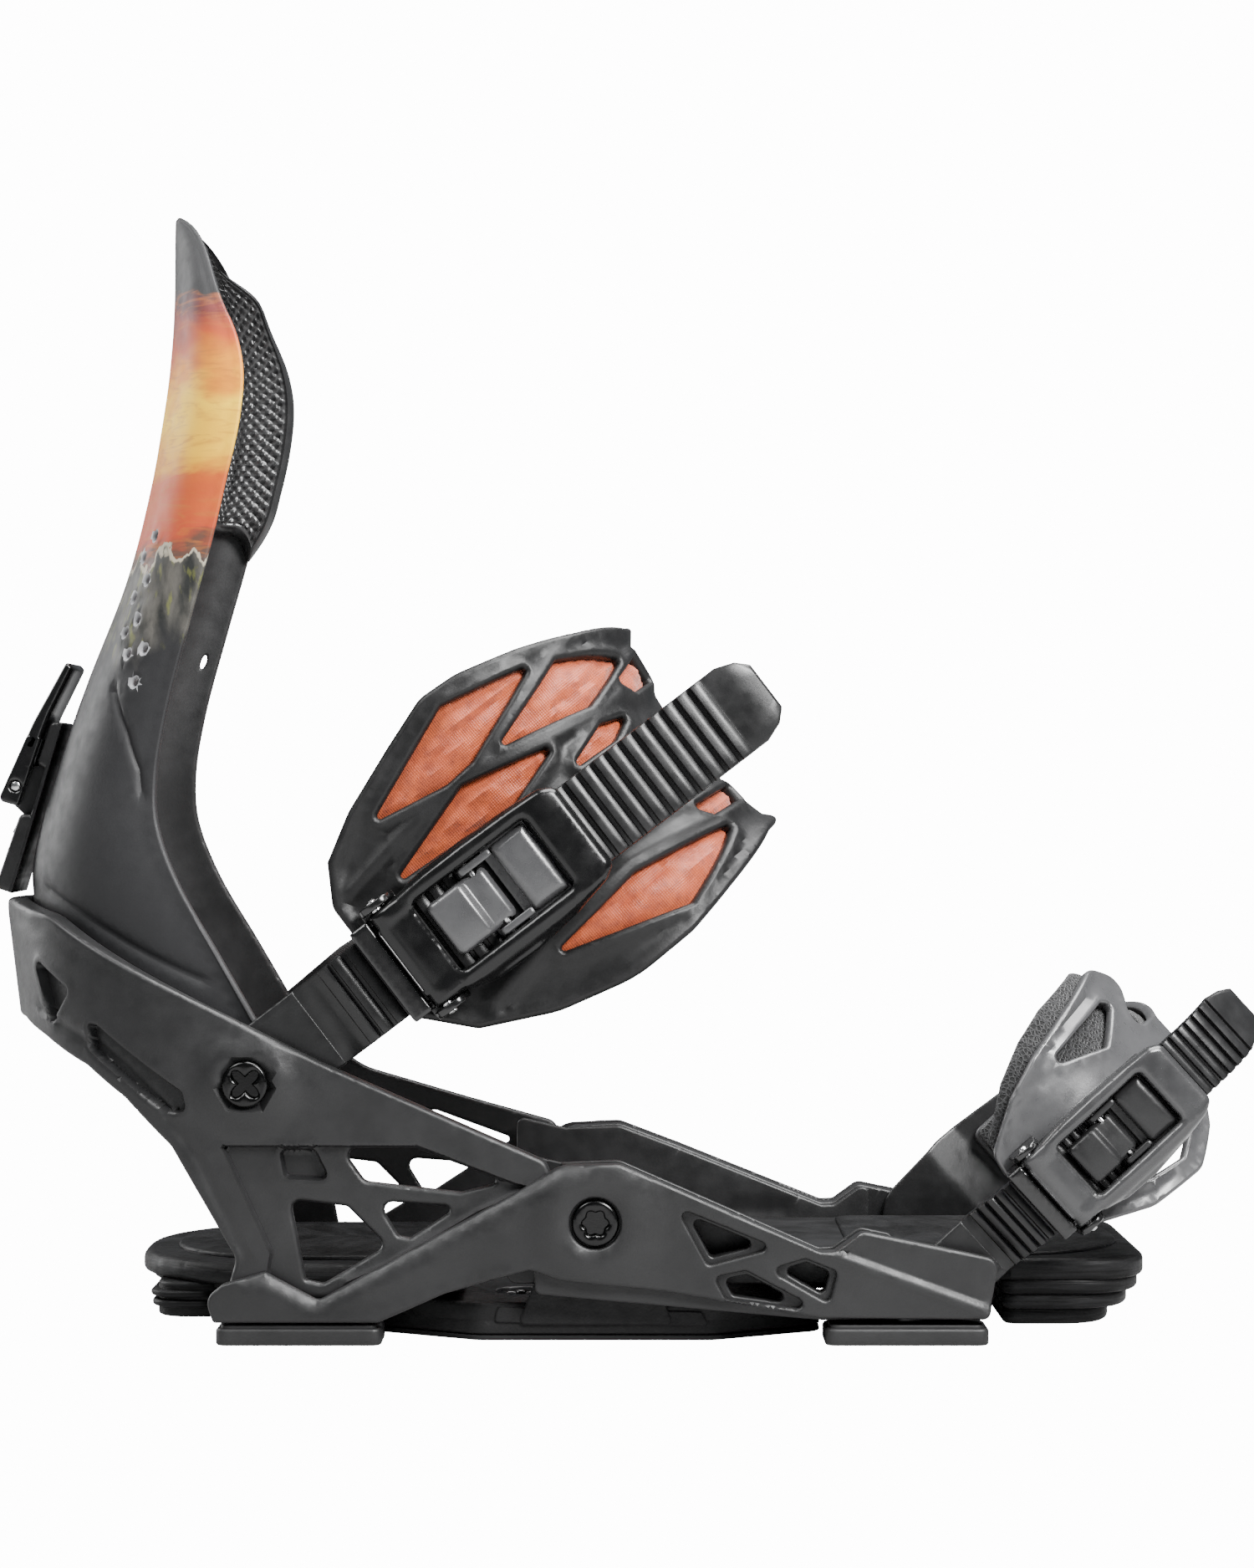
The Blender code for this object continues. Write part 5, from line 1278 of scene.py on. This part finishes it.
def build_ankle_liner(looks):
    """Padded fabric that puffs up through the shell's windows, with creases along them."""
    strap = ANKLE_STRAP
    rim = strap.pattern(ANKLE_EDGE, ANKLE_EDGE)
    inner = np.stack([strap.top + (rim[:, 0] - strap.top) * 0.985, rim[:, 1] * 0.955], 1)
    windows = [strap.flat(w) for w in ANKLE_WINDOWS]
    windows = [softened(w, 0.8, 4) for w in windows + [strap.over(w) for w in windows]]
    high = -strap.shell_t - 2 * GAP

    def face(p, gap):
        level = np.full(len(p), high)
        for number, window in enumerate(windows):
            depth = signed(p, window)
            puff = 2.3 * np.sqrt(np.clip(depth / 4.5, 0, 1))
            fold = np.sin(p[:, 0] * 0.5 + number) * np.sin(p[:, 1] * 0.6 + 0.05 * p[:, 0])
            first, second = window[np.argmin(window[:, 0])], window[np.argmax(window[:, 0])]
            bow = np.array([0.0, 2.5 if number % 2 else -2.0])
            crease = [first + bow, (first + second) / 2 - bow * 0.4, second + bow]
            crease = line_distance(p, crease)
            relief = 1 + 0.2 * fold - 0.5 * bump(crease, 1.1) + 0.2 * bump(crease - 2.6, 1.4)
            level = level + puff * relief
        return level

    def under(p, gap):
        quilt = 0.5 * np.cos(p[:, 0] / 4.2) * np.cos(p[:, 1] / 4.2)
        return high - strap.liner_t + 0.5 + quilt * smooth((gap - 4) / 3)

    liner = plate([inner], face, under, 1.4, 1.8, 1.8, 1.9)
    make("ankle_strap_padding", moved(liner, strap.bend), looks["fabric"], "ankle_strap",
         ["ankle_strap_liner"])


def build_toe_shell(looks):
    """The smooth toe shell, with its windows and grooves, over the toe cap."""
    strap = TOE_STRAP
    windows = [strap.flat(w) for w in TOE_WINDOWS]
    holes = [softened(w, 1.3, 4) for w in windows]
    grooves = [[(60, 26), (84, 28)], [(40, 18), (54, 21.4)], [(40, -12), (56, -18.4)]]
    grooves = [strap.flat(line) for line in grooves]

    def face(p, gap):
        level = -0.5 + 0.5 * (1 - smooth((gap - 1.0) / 1.2))
        for line in grooves:
            level -= 0.6 * bump(line_distance(p, line), 0.8)
        return level

    shell = plate([strap.pattern(TOE_EDGE, TOE_MEDIAL), *holes], face, -strap.shell_t, 1.0, 0.4, 1.4, 2.2)
    make("toe_strap_cover", moved(shell, strap.bend), looks["toe_shell"], "toe_strap",
         ["toe_strap_shell"])


def build_toe_liner(looks):
    """The mesh lining, wider than the shell at its rear edge on the lateral side."""
    strap = TOE_STRAP
    rim = strap.pattern(TOE_EDGE, TOE_MEDIAL)
    along, across = rim[:, 0], rim[:, 1]
    lateral = smooth((strap.top - 22 - along) / 16)
    across = np.where(across > 0, across * (1 + 0.17 * lateral), across * 0.45)
    inner = np.stack([strap.top + (along - strap.top) * 0.985, across], 1)
    high = -strap.shell_t - 2 * GAP

    def face(p, gap):
        return high + 0.25 * np.sin(p[:, 0] / 3.1) * np.sin(p[:, 1] / 2.7) - 0.25

    def under(p, gap):
        return high - strap.liner_t + 0.3 + 0.3 * np.cos(p[:, 0] / 2.4) * np.cos(p[:, 1] / 2.4)

    liner = plate([inner], face, under, 0.9, 0.9, 1.6, 2.0)
    make("toe_strap_padding", moved(liner, strap.bend), looks["mesh"], "toe_strap",
         ["toe_strap_liner"])


# A ladder tooth's height by its share of the pitch.
TOOTH = [(0, -0.35), (0.05, 0.8), (0.1, 1.0), (0.4, 0.96), (0.6, 0.75), (0.74, 0.4)]


def build_ladder(strap, looks):
    """The toothed strap: an eye on its bolt, a plain stretch, sawtooth ribs and a tapered tip."""
    half, base = strap.ladder_half, LADDER_T
    first, count = strap.teeth
    hole = circle(0, 0, strap.eye_r + 0.35, 28)
    back = strap.eye_back
    eye = [(strap.rise[0] - 0.5, -half, 0.4), (strap.rise[0] - 0.5, half, 0.4), (-back * 0.5, half, 4)]
    eye += [(-back, half * 0.5, 3), (-back, -half * 0.5, 3), (-back * 0.5, -half, 4)]
    eye = plate([rounded(eye), hole], 50.5, EYE_OUT, 0.7, 0.5, 1.2, 2.2)
    stations = [(strap.rise[0] - 1.5, half, base), (strap.rise[0], half, base)]
    for s in np.arange(strap.rise[0] + 1.2, first - 0.8, 1.2):
        stations.append((s, half, base))
    for k in range(count):
        s, pitch = first + k * strap.pitch, strap.pitch
        for share, rise in TOOTH:
            stations.append((s + share * pitch, half, base + strap.tooth * rise))
        stations += [(s + 0.8 * pitch, half, base - 0.5), (s + 0.96 * pitch, half, base - 0.5)]
    last = first + count * strap.pitch
    stations.append((max(strap.tip - 8, last + 0.4), half, base + 0.5))
    stations.append((strap.tip - 3, half * 0.84, base + 0.5))
    stations += [(strap.tip - 0.6, half * 0.64, base + 0.2), (strap.tip, half * 0.58, base - 0.5)]
    rings = []
    for s, width, thick in stations:
        r = min(0.7, thick * 0.3)
        side = [(-width, r), (-width, thick - r * 1.2), (-width + r * 0.4, thick - r * 0.3)]
        side += [(-width + r * 1.4, thick), (-width * 0.5, thick)]
        across = side + [(-a, b) for a, b in side[::-1]] + [(width - r, 0), (-width + r, 0)]
        line = float(strap.ladder_line(s))
        rings.append([(s, a, line + b) for a, b in across])
    name = f"{strap.name}_ladder"
    made = moved(merged(eye, ringed(np.array(rings))), strap.place)
    make(f"{name}_strip", made, looks["ladder"], f"{strap.name}_ends", [name], 30)


def build_connector(strap, looks):
    """The medial strap end, with its adjusting slot, and the screw through it."""
    low, high, end = strap.connector
    half, thick, r = 12.0, 2.5, 2.15
    neck, eye = strap.ladder_half, strap.eye_back
    outline = [(-eye, -neck * 0.8, 6), (eye + 2, -neck, 6), (low + 8, -half, 6), (end, -half, 5)]
    outline += [(end, half - 1, 5), (low + 4, half + 2.4, 12), (2, half + 1, 12), (-eye, neck * 0.6, 3)]
    start, stop = strap.screw_at - strap.pitch - r, strap.screw_at + 3 * strap.pitch + r
    slot = rounded([(start, -r, r * 0.9), (stop, -r, r * 0.9), (stop, r, r * 0.9), (start, r, r * 0.9)], 6)
    hole = circle(0, 0, strap.eye_r + 0.35, 28)

    def face(p, gap):
        """A raised border and ratchet marks beside the slot."""
        near_slot = (np.abs(p[:, 1]) > 3) & (np.abs(p[:, 1]) < 7) & (p[:, 0] > start) & (p[:, 0] < stop)
        marks = 0.3 * smooth(np.sin(p[:, 0] * 2 * np.pi / 2.6) + 0.3) * near_slot
        return thick - 0.4 + 0.4 * (1 - smooth((gap - 1.4) / 0.8)) + marks

    def place(s, across, out):
        share = np.clip((s - low) / (high - low), 0, 1)
        line = EYE_OUT + (strap.half + GAP - EYE_OUT) * share
        return strap.place(s, across, -(line + out))

    body = plate([rounded(outline), slot, hole], face, 0, 0.7, 0.4, 1.3, 1.6)
    name = f"{strap.name}_connector"
    make(f"{name}_plate", moved(body, place), looks["fine_nylon"], f"{strap.name}_ends",
         [name])
    base = strap.half + GAP + thick + GAP
    shaft = lathe([(base - thick - 0.9, 1.5), (base - thick - 0.5, 1.8), (base + 0.2, 1.8)], 24)
    screw = merged(shaft, bolt_head(base, base + 1.5, 4.4, cross(2.7, 0.8), 0.9))

    def stand(a, b, h):
        return strap.place(strap.screw_at + a, b, -h)

    name = f"{strap.name}_connector_screw"
    make(f"{name}_body", moved(screw, stand), looks["black_steel"], f"{strap.name}_strap", [name])


# ---------------------------------------------------------------- buckles

# Sizes of the ankle buckle; the toe buckle's are scaled by its strap.
PIVOT = (9.5, 3.9)
RELEASE_PIVOT = (34.0, 2.9)
PIN_R = 1.3


def block(strap, along, across, up, rim=0.5, under=0.3, top=None, holes=()):
    """A rounded block from spans in the buckle's frame: along, across (mm) and over the teeth."""
    low, high = strap.at(along[0]), strap.at(along[1])
    corners = [(low, across[0]), (high, across[0]), (high, across[1]), (low, across[1])]
    bottom = strap.half + GAP if up[0] is None else strap.up(up[0])
    level = strap.up(up[1]) if top is None else top
    size = min(high - low, across[1] - across[0])
    return plate([softened(corners, min(1.2, size * 0.3), 4), *holes], level, bottom, rim, under, 0.9, 1.5)


def side_slab(strap, outline, near, far, rim=0.5, holes=()):
    """A part from its side view (along the strap, height), between two distances across."""
    body = plate([outline, *holes], far, near, rim, rim, 0.9, 1.4)
    return moved(body, lambda s, up, across: (s, across, up))


def build_buckle(strap, looks):
    """The buckle's frame with its bridge block, both pins, and then the parts that turn on them."""
    k, name = strap.scale, strap.name
    inner = strap.ladder_half + GAP
    wall = inner + 2 * k
    shell = strap.half + GAP
    pin = (strap.at(PIVOT[0]), strap.up(PIVOT[1]))
    release = (strap.at(RELEASE_PIVOT[0]), strap.up(RELEASE_PIVOT[1]))
    ear_in, ear_out = wall + 1.1 * k, wall + 3.1 * k
    rail_in, rail_out = wall - 3.2 * k, wall + 0.7 * k
    body = rail_in - 0.5 * k
    bore = circle(*pin, PIN_R * k + GAP / 2, 20)
    floor = [(strap.at(0), -wall), (strap.at(58), -wall), (strap.at(58), wall), (strap.at(0), wall)]
    parts = [plate([softened(floor, 2)], shell + 1.4, shell, 0.3, 0.3)]
    for sign in (-1, 1):
        near, far = sorted((sign * inner, sign * wall))
        parts.append(block(strap, (1, 57), (near, far), (None, 0.6), 0.5))
        near, far = sorted((sign * (wall - 0.5), sign * ear_out))
        foot = [(strap.at(4.5), near), (strap.at(15), near), (strap.at(15), far), (strap.at(4.5), far)]
        parts.append(plate([softened(foot, 0.6)], shell + 1.9, shell + 0.05, 0.4, 0.3))
        near, far = sorted((sign * ear_in, sign * ear_out))
        ear = [(strap.at(4.5), shell + 0.1), (strap.at(15), shell + 0.1)]
        ear += [(strap.at(14), strap.up(6.4), 3.5 * k), (strap.at(5.5), strap.up(6.4), 3.5 * k)]
        parts.append(side_slab(strap, rounded(ear), near, far, 0.45, [bore]))
        near, far = sorted((sign * inner, sign * wall))
        parts.append(block(strap, (0.2, 5.6), (near, far), (0.2, 5), 0.5))
    parts.append(block(strap, (0.1, 5.7), (-wall, wall), (1.0, 5.2), 0.9, 0.4))
    make(f"{name}_buckle_frame", moved(merged(*parts), strap.place), looks["gloss_nylon"],
         f"{name}_strap", [f"{name}_buckle_base"], 35)

    def crown(p, gap):
        """The bridge block's domed top."""
        return strap.up(5.6) - 0.5 * (p[:, 1] / body) ** 2

    bridge = [block(strap, (38.6, 52), (-wall + 0.2, wall - 0.2), (0.35, 1.5), 0.3)]
    bridge.append(block(strap, (41, 52), (-body, body), (0.9, 5.6), 2.6 * k, 0.3, crown))
    for sign in (-1, 1):
        near, far = sorted((sign * (body - 2 * k), sign * body))
        finger = [(strap.at(31), strap.up(0.8)), (strap.at(41), strap.up(0.8))]
        finger += [(strap.at(41), strap.up(5)), (strap.at(31), strap.up(5), 1.5 * k)]
        hole = circle(*release, k + GAP / 2, 18)
        bridge.append(side_slab(strap, rounded(finger), near, far, 0.4, [hole]))
    make(f"{name}_buckle_bridge", moved(merged(*bridge), strap.place), looks[strap.blocks],
         f"{name}_strap", (), 35)
    for label, half, radius, centre in (("buckle", ear_out + 0.6, PIN_R * k, pin),
                                        ("release", body, k - 0.1, release)):
        rod = [(-half, radius * 0.7), (-half + 0.35, radius), (half - 0.35, radius), (half, radius * 0.7)]
        rod = lathe(rod, 28)
        rod = moved(rod, lambda a, b, h: strap.place(centre[0] + a, h, centre[1] + b))
        make(f"{name}_{label}_rod", rod, looks["steel"], f"{name}_strap", [f"{name}_{label}_pin"])
    build_lever(strap, looks, pin, rail_in, rail_out)
    build_release(strap, looks, release, body - 2 * k - GAP)


def build_lever(strap, looks, pin, rail_in, rail_out):
    """The lever, with rails that swell outwards past the pivot round a window, and a slight dish
    at its foot; and the drive pawl on the same pin."""
    k, name = strap.scale, strap.name
    at, up = strap.at, strap.up
    swell = [(16, 0.3), (24, 1.8), (36, 2.0), (50, 1.0), (60, -0.4)]
    toe_edge = [(at(a), -(rail_out + k * (1.5 * out + 0.5)), 4 * k) for a, out in swell]
    heel_edge = [(at(a), rail_out + k * 0.7 * out, 4 * k) for a, out in swell]
    foot = [(at(6.4), rail_out, 1.2 * k), (at(6.4), -rail_out, 1.2 * k), (at(15), -rail_out, 2 * k)]
    tail = [(at(64), -rail_out + 2.4 * k, 3 * k), (at(64), rail_out - 2.4 * k, 3 * k)]
    outline = rounded(foot + toe_edge + tail + heel_edge[::-1] + [(at(15), rail_out, 2 * k)], 5)
    window = [(at(17.5), -rail_in), (at(53), -rail_in), (at(53), rail_in), (at(17.5), rail_in)]
    crest = [(6.4, 5.6), (8.5, 6.9), (16, 7.0), (30, 7.7), (48, 6.9), (60, 6.0), (64, 5.0)]

    def face(p, gap):
        along, across = (p[:, 0] - strap.buckle) / k, np.abs(p[:, 1])
        within = smooth((rail_in + 0.2 * k - across) / (1.6 * k))
        dish = 1.0 * within * smooth((along - 8.2) / 1.5) * (along < 17.5)
        outside = np.clip((across - rail_out + 1.4 * k) / (3.4 * k), 0, 1) ** 2
        return up(curve_through(crest, along) - 0.35 * dish - 3.2 * outside)

    def under(p, gap):
        along, across = (p[:, 0] - strap.buckle) / k, np.abs(p[:, 1])
        rail = np.where(along < 15, 1.4, 2.0)
        middle = np.where(along < 30, 6.1, 2.6)
        return up(np.where(across < rail_in - 0.4, middle, rail))

    inner = rail_in - 0.6 * k
    panel = [(at(17), -inner), (at(8.6), -inner), (at(8.6), inner), (at(17), inner)]
    loops = [outline, softened(window, 1.6 * k)]
    body = plate(loops, face, under, 1.9 * k, 0.4, 1.0, 1.2, lines=[panel])
    make(f"{name}_lever_body", moved(body, strap.place), looks[f"{name}_lever"],
         f"{name}_lever", [f"{name}_buckle_lever"], 80)
    bore = circle(*pin, PIN_R * k + GAP / 2, 20)
    pawl = [(6.5, 2.4), (12.8, 0.5), (13.6, 1.2), (13.2, 3.6), (11, 5.6), (8, 5.6), (6.6, 4.4)]
    pawl = softened([(strap.at(a), strap.up(b)) for a, b in pawl], 0.3, 2)
    pawl = side_slab(strap, pawl, -rail_in + 1, rail_in - 1, 0.25, [bore])
    make(f"{name}_pawl_body", moved(pawl, strap.place), looks["black_steel"],
         f"{name}_pawl", [f"{name}_drive_pawl"], 30)


def build_release(strap, looks, pivot, half):
    """The release lever: a rounded thumb block with a tooth under it."""
    k, name = strap.scale, strap.name
    side = [(19.5, 1.6, 0.3), (21, 0.5, 0.3), (23, 0.9, 0.3), (36.6, 0.9, 0.4), (37.6, 2.4, 1.2)]
    side += [(36.4, 4.6, 1.5), (31, 5.2, 1), (29.5, 7.2, 1.6), (19.5, 7.2, 1.8)]
    side = rounded([(strap.at(a), strap.up(b), k * r) for a, b, r in side], 5)
    body = side_slab(strap, side, -half, half, 2.0 * k, [circle(*pivot, k + GAP / 2, 18)])
    make(f"{name}_release_body", moved(body, strap.place), looks[strap.blocks],
         f"{name}_release", [f"{name}_release_lever"], 35)


# ---------------------------------------------------------------- light, floor and camera


WHITE = 14.0  # brightness of the backdrop as the camera sees it
DIM = 0.17  # brightness of the surroundings that light the object


def seen_as(tree, lit, white, output):
    """Shows the camera one shader, and everything else the other."""
    seen = tree.nodes.new("ShaderNodeLightPath")
    blend = tree.nodes.new("ShaderNodeMixShader")
    tree.links.new(seen.outputs["Is Camera Ray"], blend.inputs[0])
    tree.links.new(lit.outputs[0], blend.inputs[1])
    tree.links.new(white.outputs[0], blend.inputs[2])
    tree.links.new(blend.outputs[0], tree.nodes[output].inputs[0])


def build_stage():
    """A grey floor that looks white to the camera."""
    floor = bpy.data.meshes.new("floor")
    floor.from_pydata([(-8, -8, 0), (8, -8, 0), (8, 8, 0), (-8, 8, 0)], [], [(0, 1, 2, 3)])
    made = bpy.data.objects.new("floor", floor)
    made.location.z = -0.0004
    bpy.context.scene.collection.objects.link(made)
    pale = bpy.data.materials.new("pale_floor")
    pale.use_nodes = True
    tree = pale.node_tree
    shader = tree.nodes["Principled BSDF"]
    shader.inputs["Base Color"].default_value = (0.35, 0.35, 0.35, 1)
    shader.inputs["Roughness"].default_value = 0.9
    glow = tree.nodes.new("ShaderNodeEmission")
    glow.inputs["Strength"].default_value = WHITE
    seen_as(tree, shader, glow, "Material Output")
    floor.materials.append(pale)


def build_world():
    """White behind the object; a dim grey surrounding lights it."""
    world = bpy.data.worlds.new("studio")
    world.use_nodes = True
    tree = world.node_tree
    dim = tree.nodes["Background"]
    dim.inputs[0].default_value = (0.9, 0.95, 1.0, 1)
    dim.inputs[1].default_value = DIM
    white = tree.nodes.new("ShaderNodeBackground")
    white.inputs[0].default_value = (1, 1, 1, 1)
    white.inputs[1].default_value = WHITE
    seen_as(tree, dim, white, "World Output")
    bpy.context.scene.world = world


def area_light(name, place, target, size, power):
    """A rectangular light at a place in metres, facing the target, with its power in watts."""
    light = bpy.data.lights.new(name, "AREA")
    light.shape = "RECTANGLE"
    light.size, light.size_y = size
    light.energy = power
    made = bpy.data.objects.new(name, light)
    made.location = place
    made.rotation_euler = (Vector(target) - Vector(place)).to_track_quat("-Z", "Y").to_euler()
    bpy.context.scene.collection.objects.link(made)


def build_lights():
    """A key from the heel side, a broad top light, a rim from behind and a front light."""
    area_light("key", (-0.75, -0.5, 1.15), (-0.05, 0, 0.12), (0.6, 0.6), 14)
    area_light("top", (0.35, 0.0, 1.3), (0.05, 0, 0.1), (1.0, 0.9), 52)
    area_light("rim", (-1.0, 0.5, 0.5), (-0.1, 0, 0.15), (0.4, 0.9), 12)
    area_light("front", (0.5, -0.62, 0.7), (0.1, 0, 0.05), (0.35, 0.4), 26)


def build_camera():
    """A long lens that looks along +Y at the lateral side."""
    camera = bpy.data.cameras.new("camera")
    camera.lens = 81.12
    camera.sensor_width = 36
    camera.clip_start = 0.05
    made = bpy.data.objects.new("camera", camera)
    made.location = (0.008, -0.95, 0.1418)
    made.rotation_euler = (math.pi / 2, 0, 0)
    bpy.context.scene.collection.objects.link(made)
    bpy.context.scene.camera = made


def finish_leftovers(frame, looks):
    """Materials for the CAD nodes, and softened edges on those that stay in view."""
    renamed = {
        "highback_print": "paint",
        "strap_shell": "strap_rubber",
        "strap_liner": "fabric",
        "mesh_liner": "mesh",
        "release": "satin_grey",
    }
    for node in frame["nodes"].values():
        slots = [m.name.split(".")[0] for m in node.data.materials if m]
        slot = slots[0] if slots else "nylon"
        look = looks.get(renamed.get(slot, slot), looks["nylon"])
        node.data.materials.clear()
        node.data.materials.append(look)
    for side in SIDES:
        nut = frame["nodes"][f"ankle_nut_{side}"]
        edge = nut.modifiers.new("edge", "BEVEL")
        edge.width = 0.0002
        edge.segments = 2
        edge.limit_method = "ANGLE"


def main():
    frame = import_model()
    looks = make_looks()
    build_base(looks)
    build_bolts(looks)
    build_chassis(looks)
    build_heel_cup(looks)
    build_footbeds(looks)
    build_bushings(looks)
    build_highback(looks)
    build_pad(looks)
    build_lean(looks)
    build_ankle_shell(looks)
    build_ankle_liner(looks)
    build_toe_shell(looks)
    build_toe_liner(looks)
    for strap in (ANKLE_STRAP, TOE_STRAP):
        build_ladder(strap, looks)
        build_connector(strap, looks)
        build_buckle(strap, looks)
    finish_leftovers(frame, looks)
    build_stage()
    build_world()
    build_lights()
    build_camera()


main()
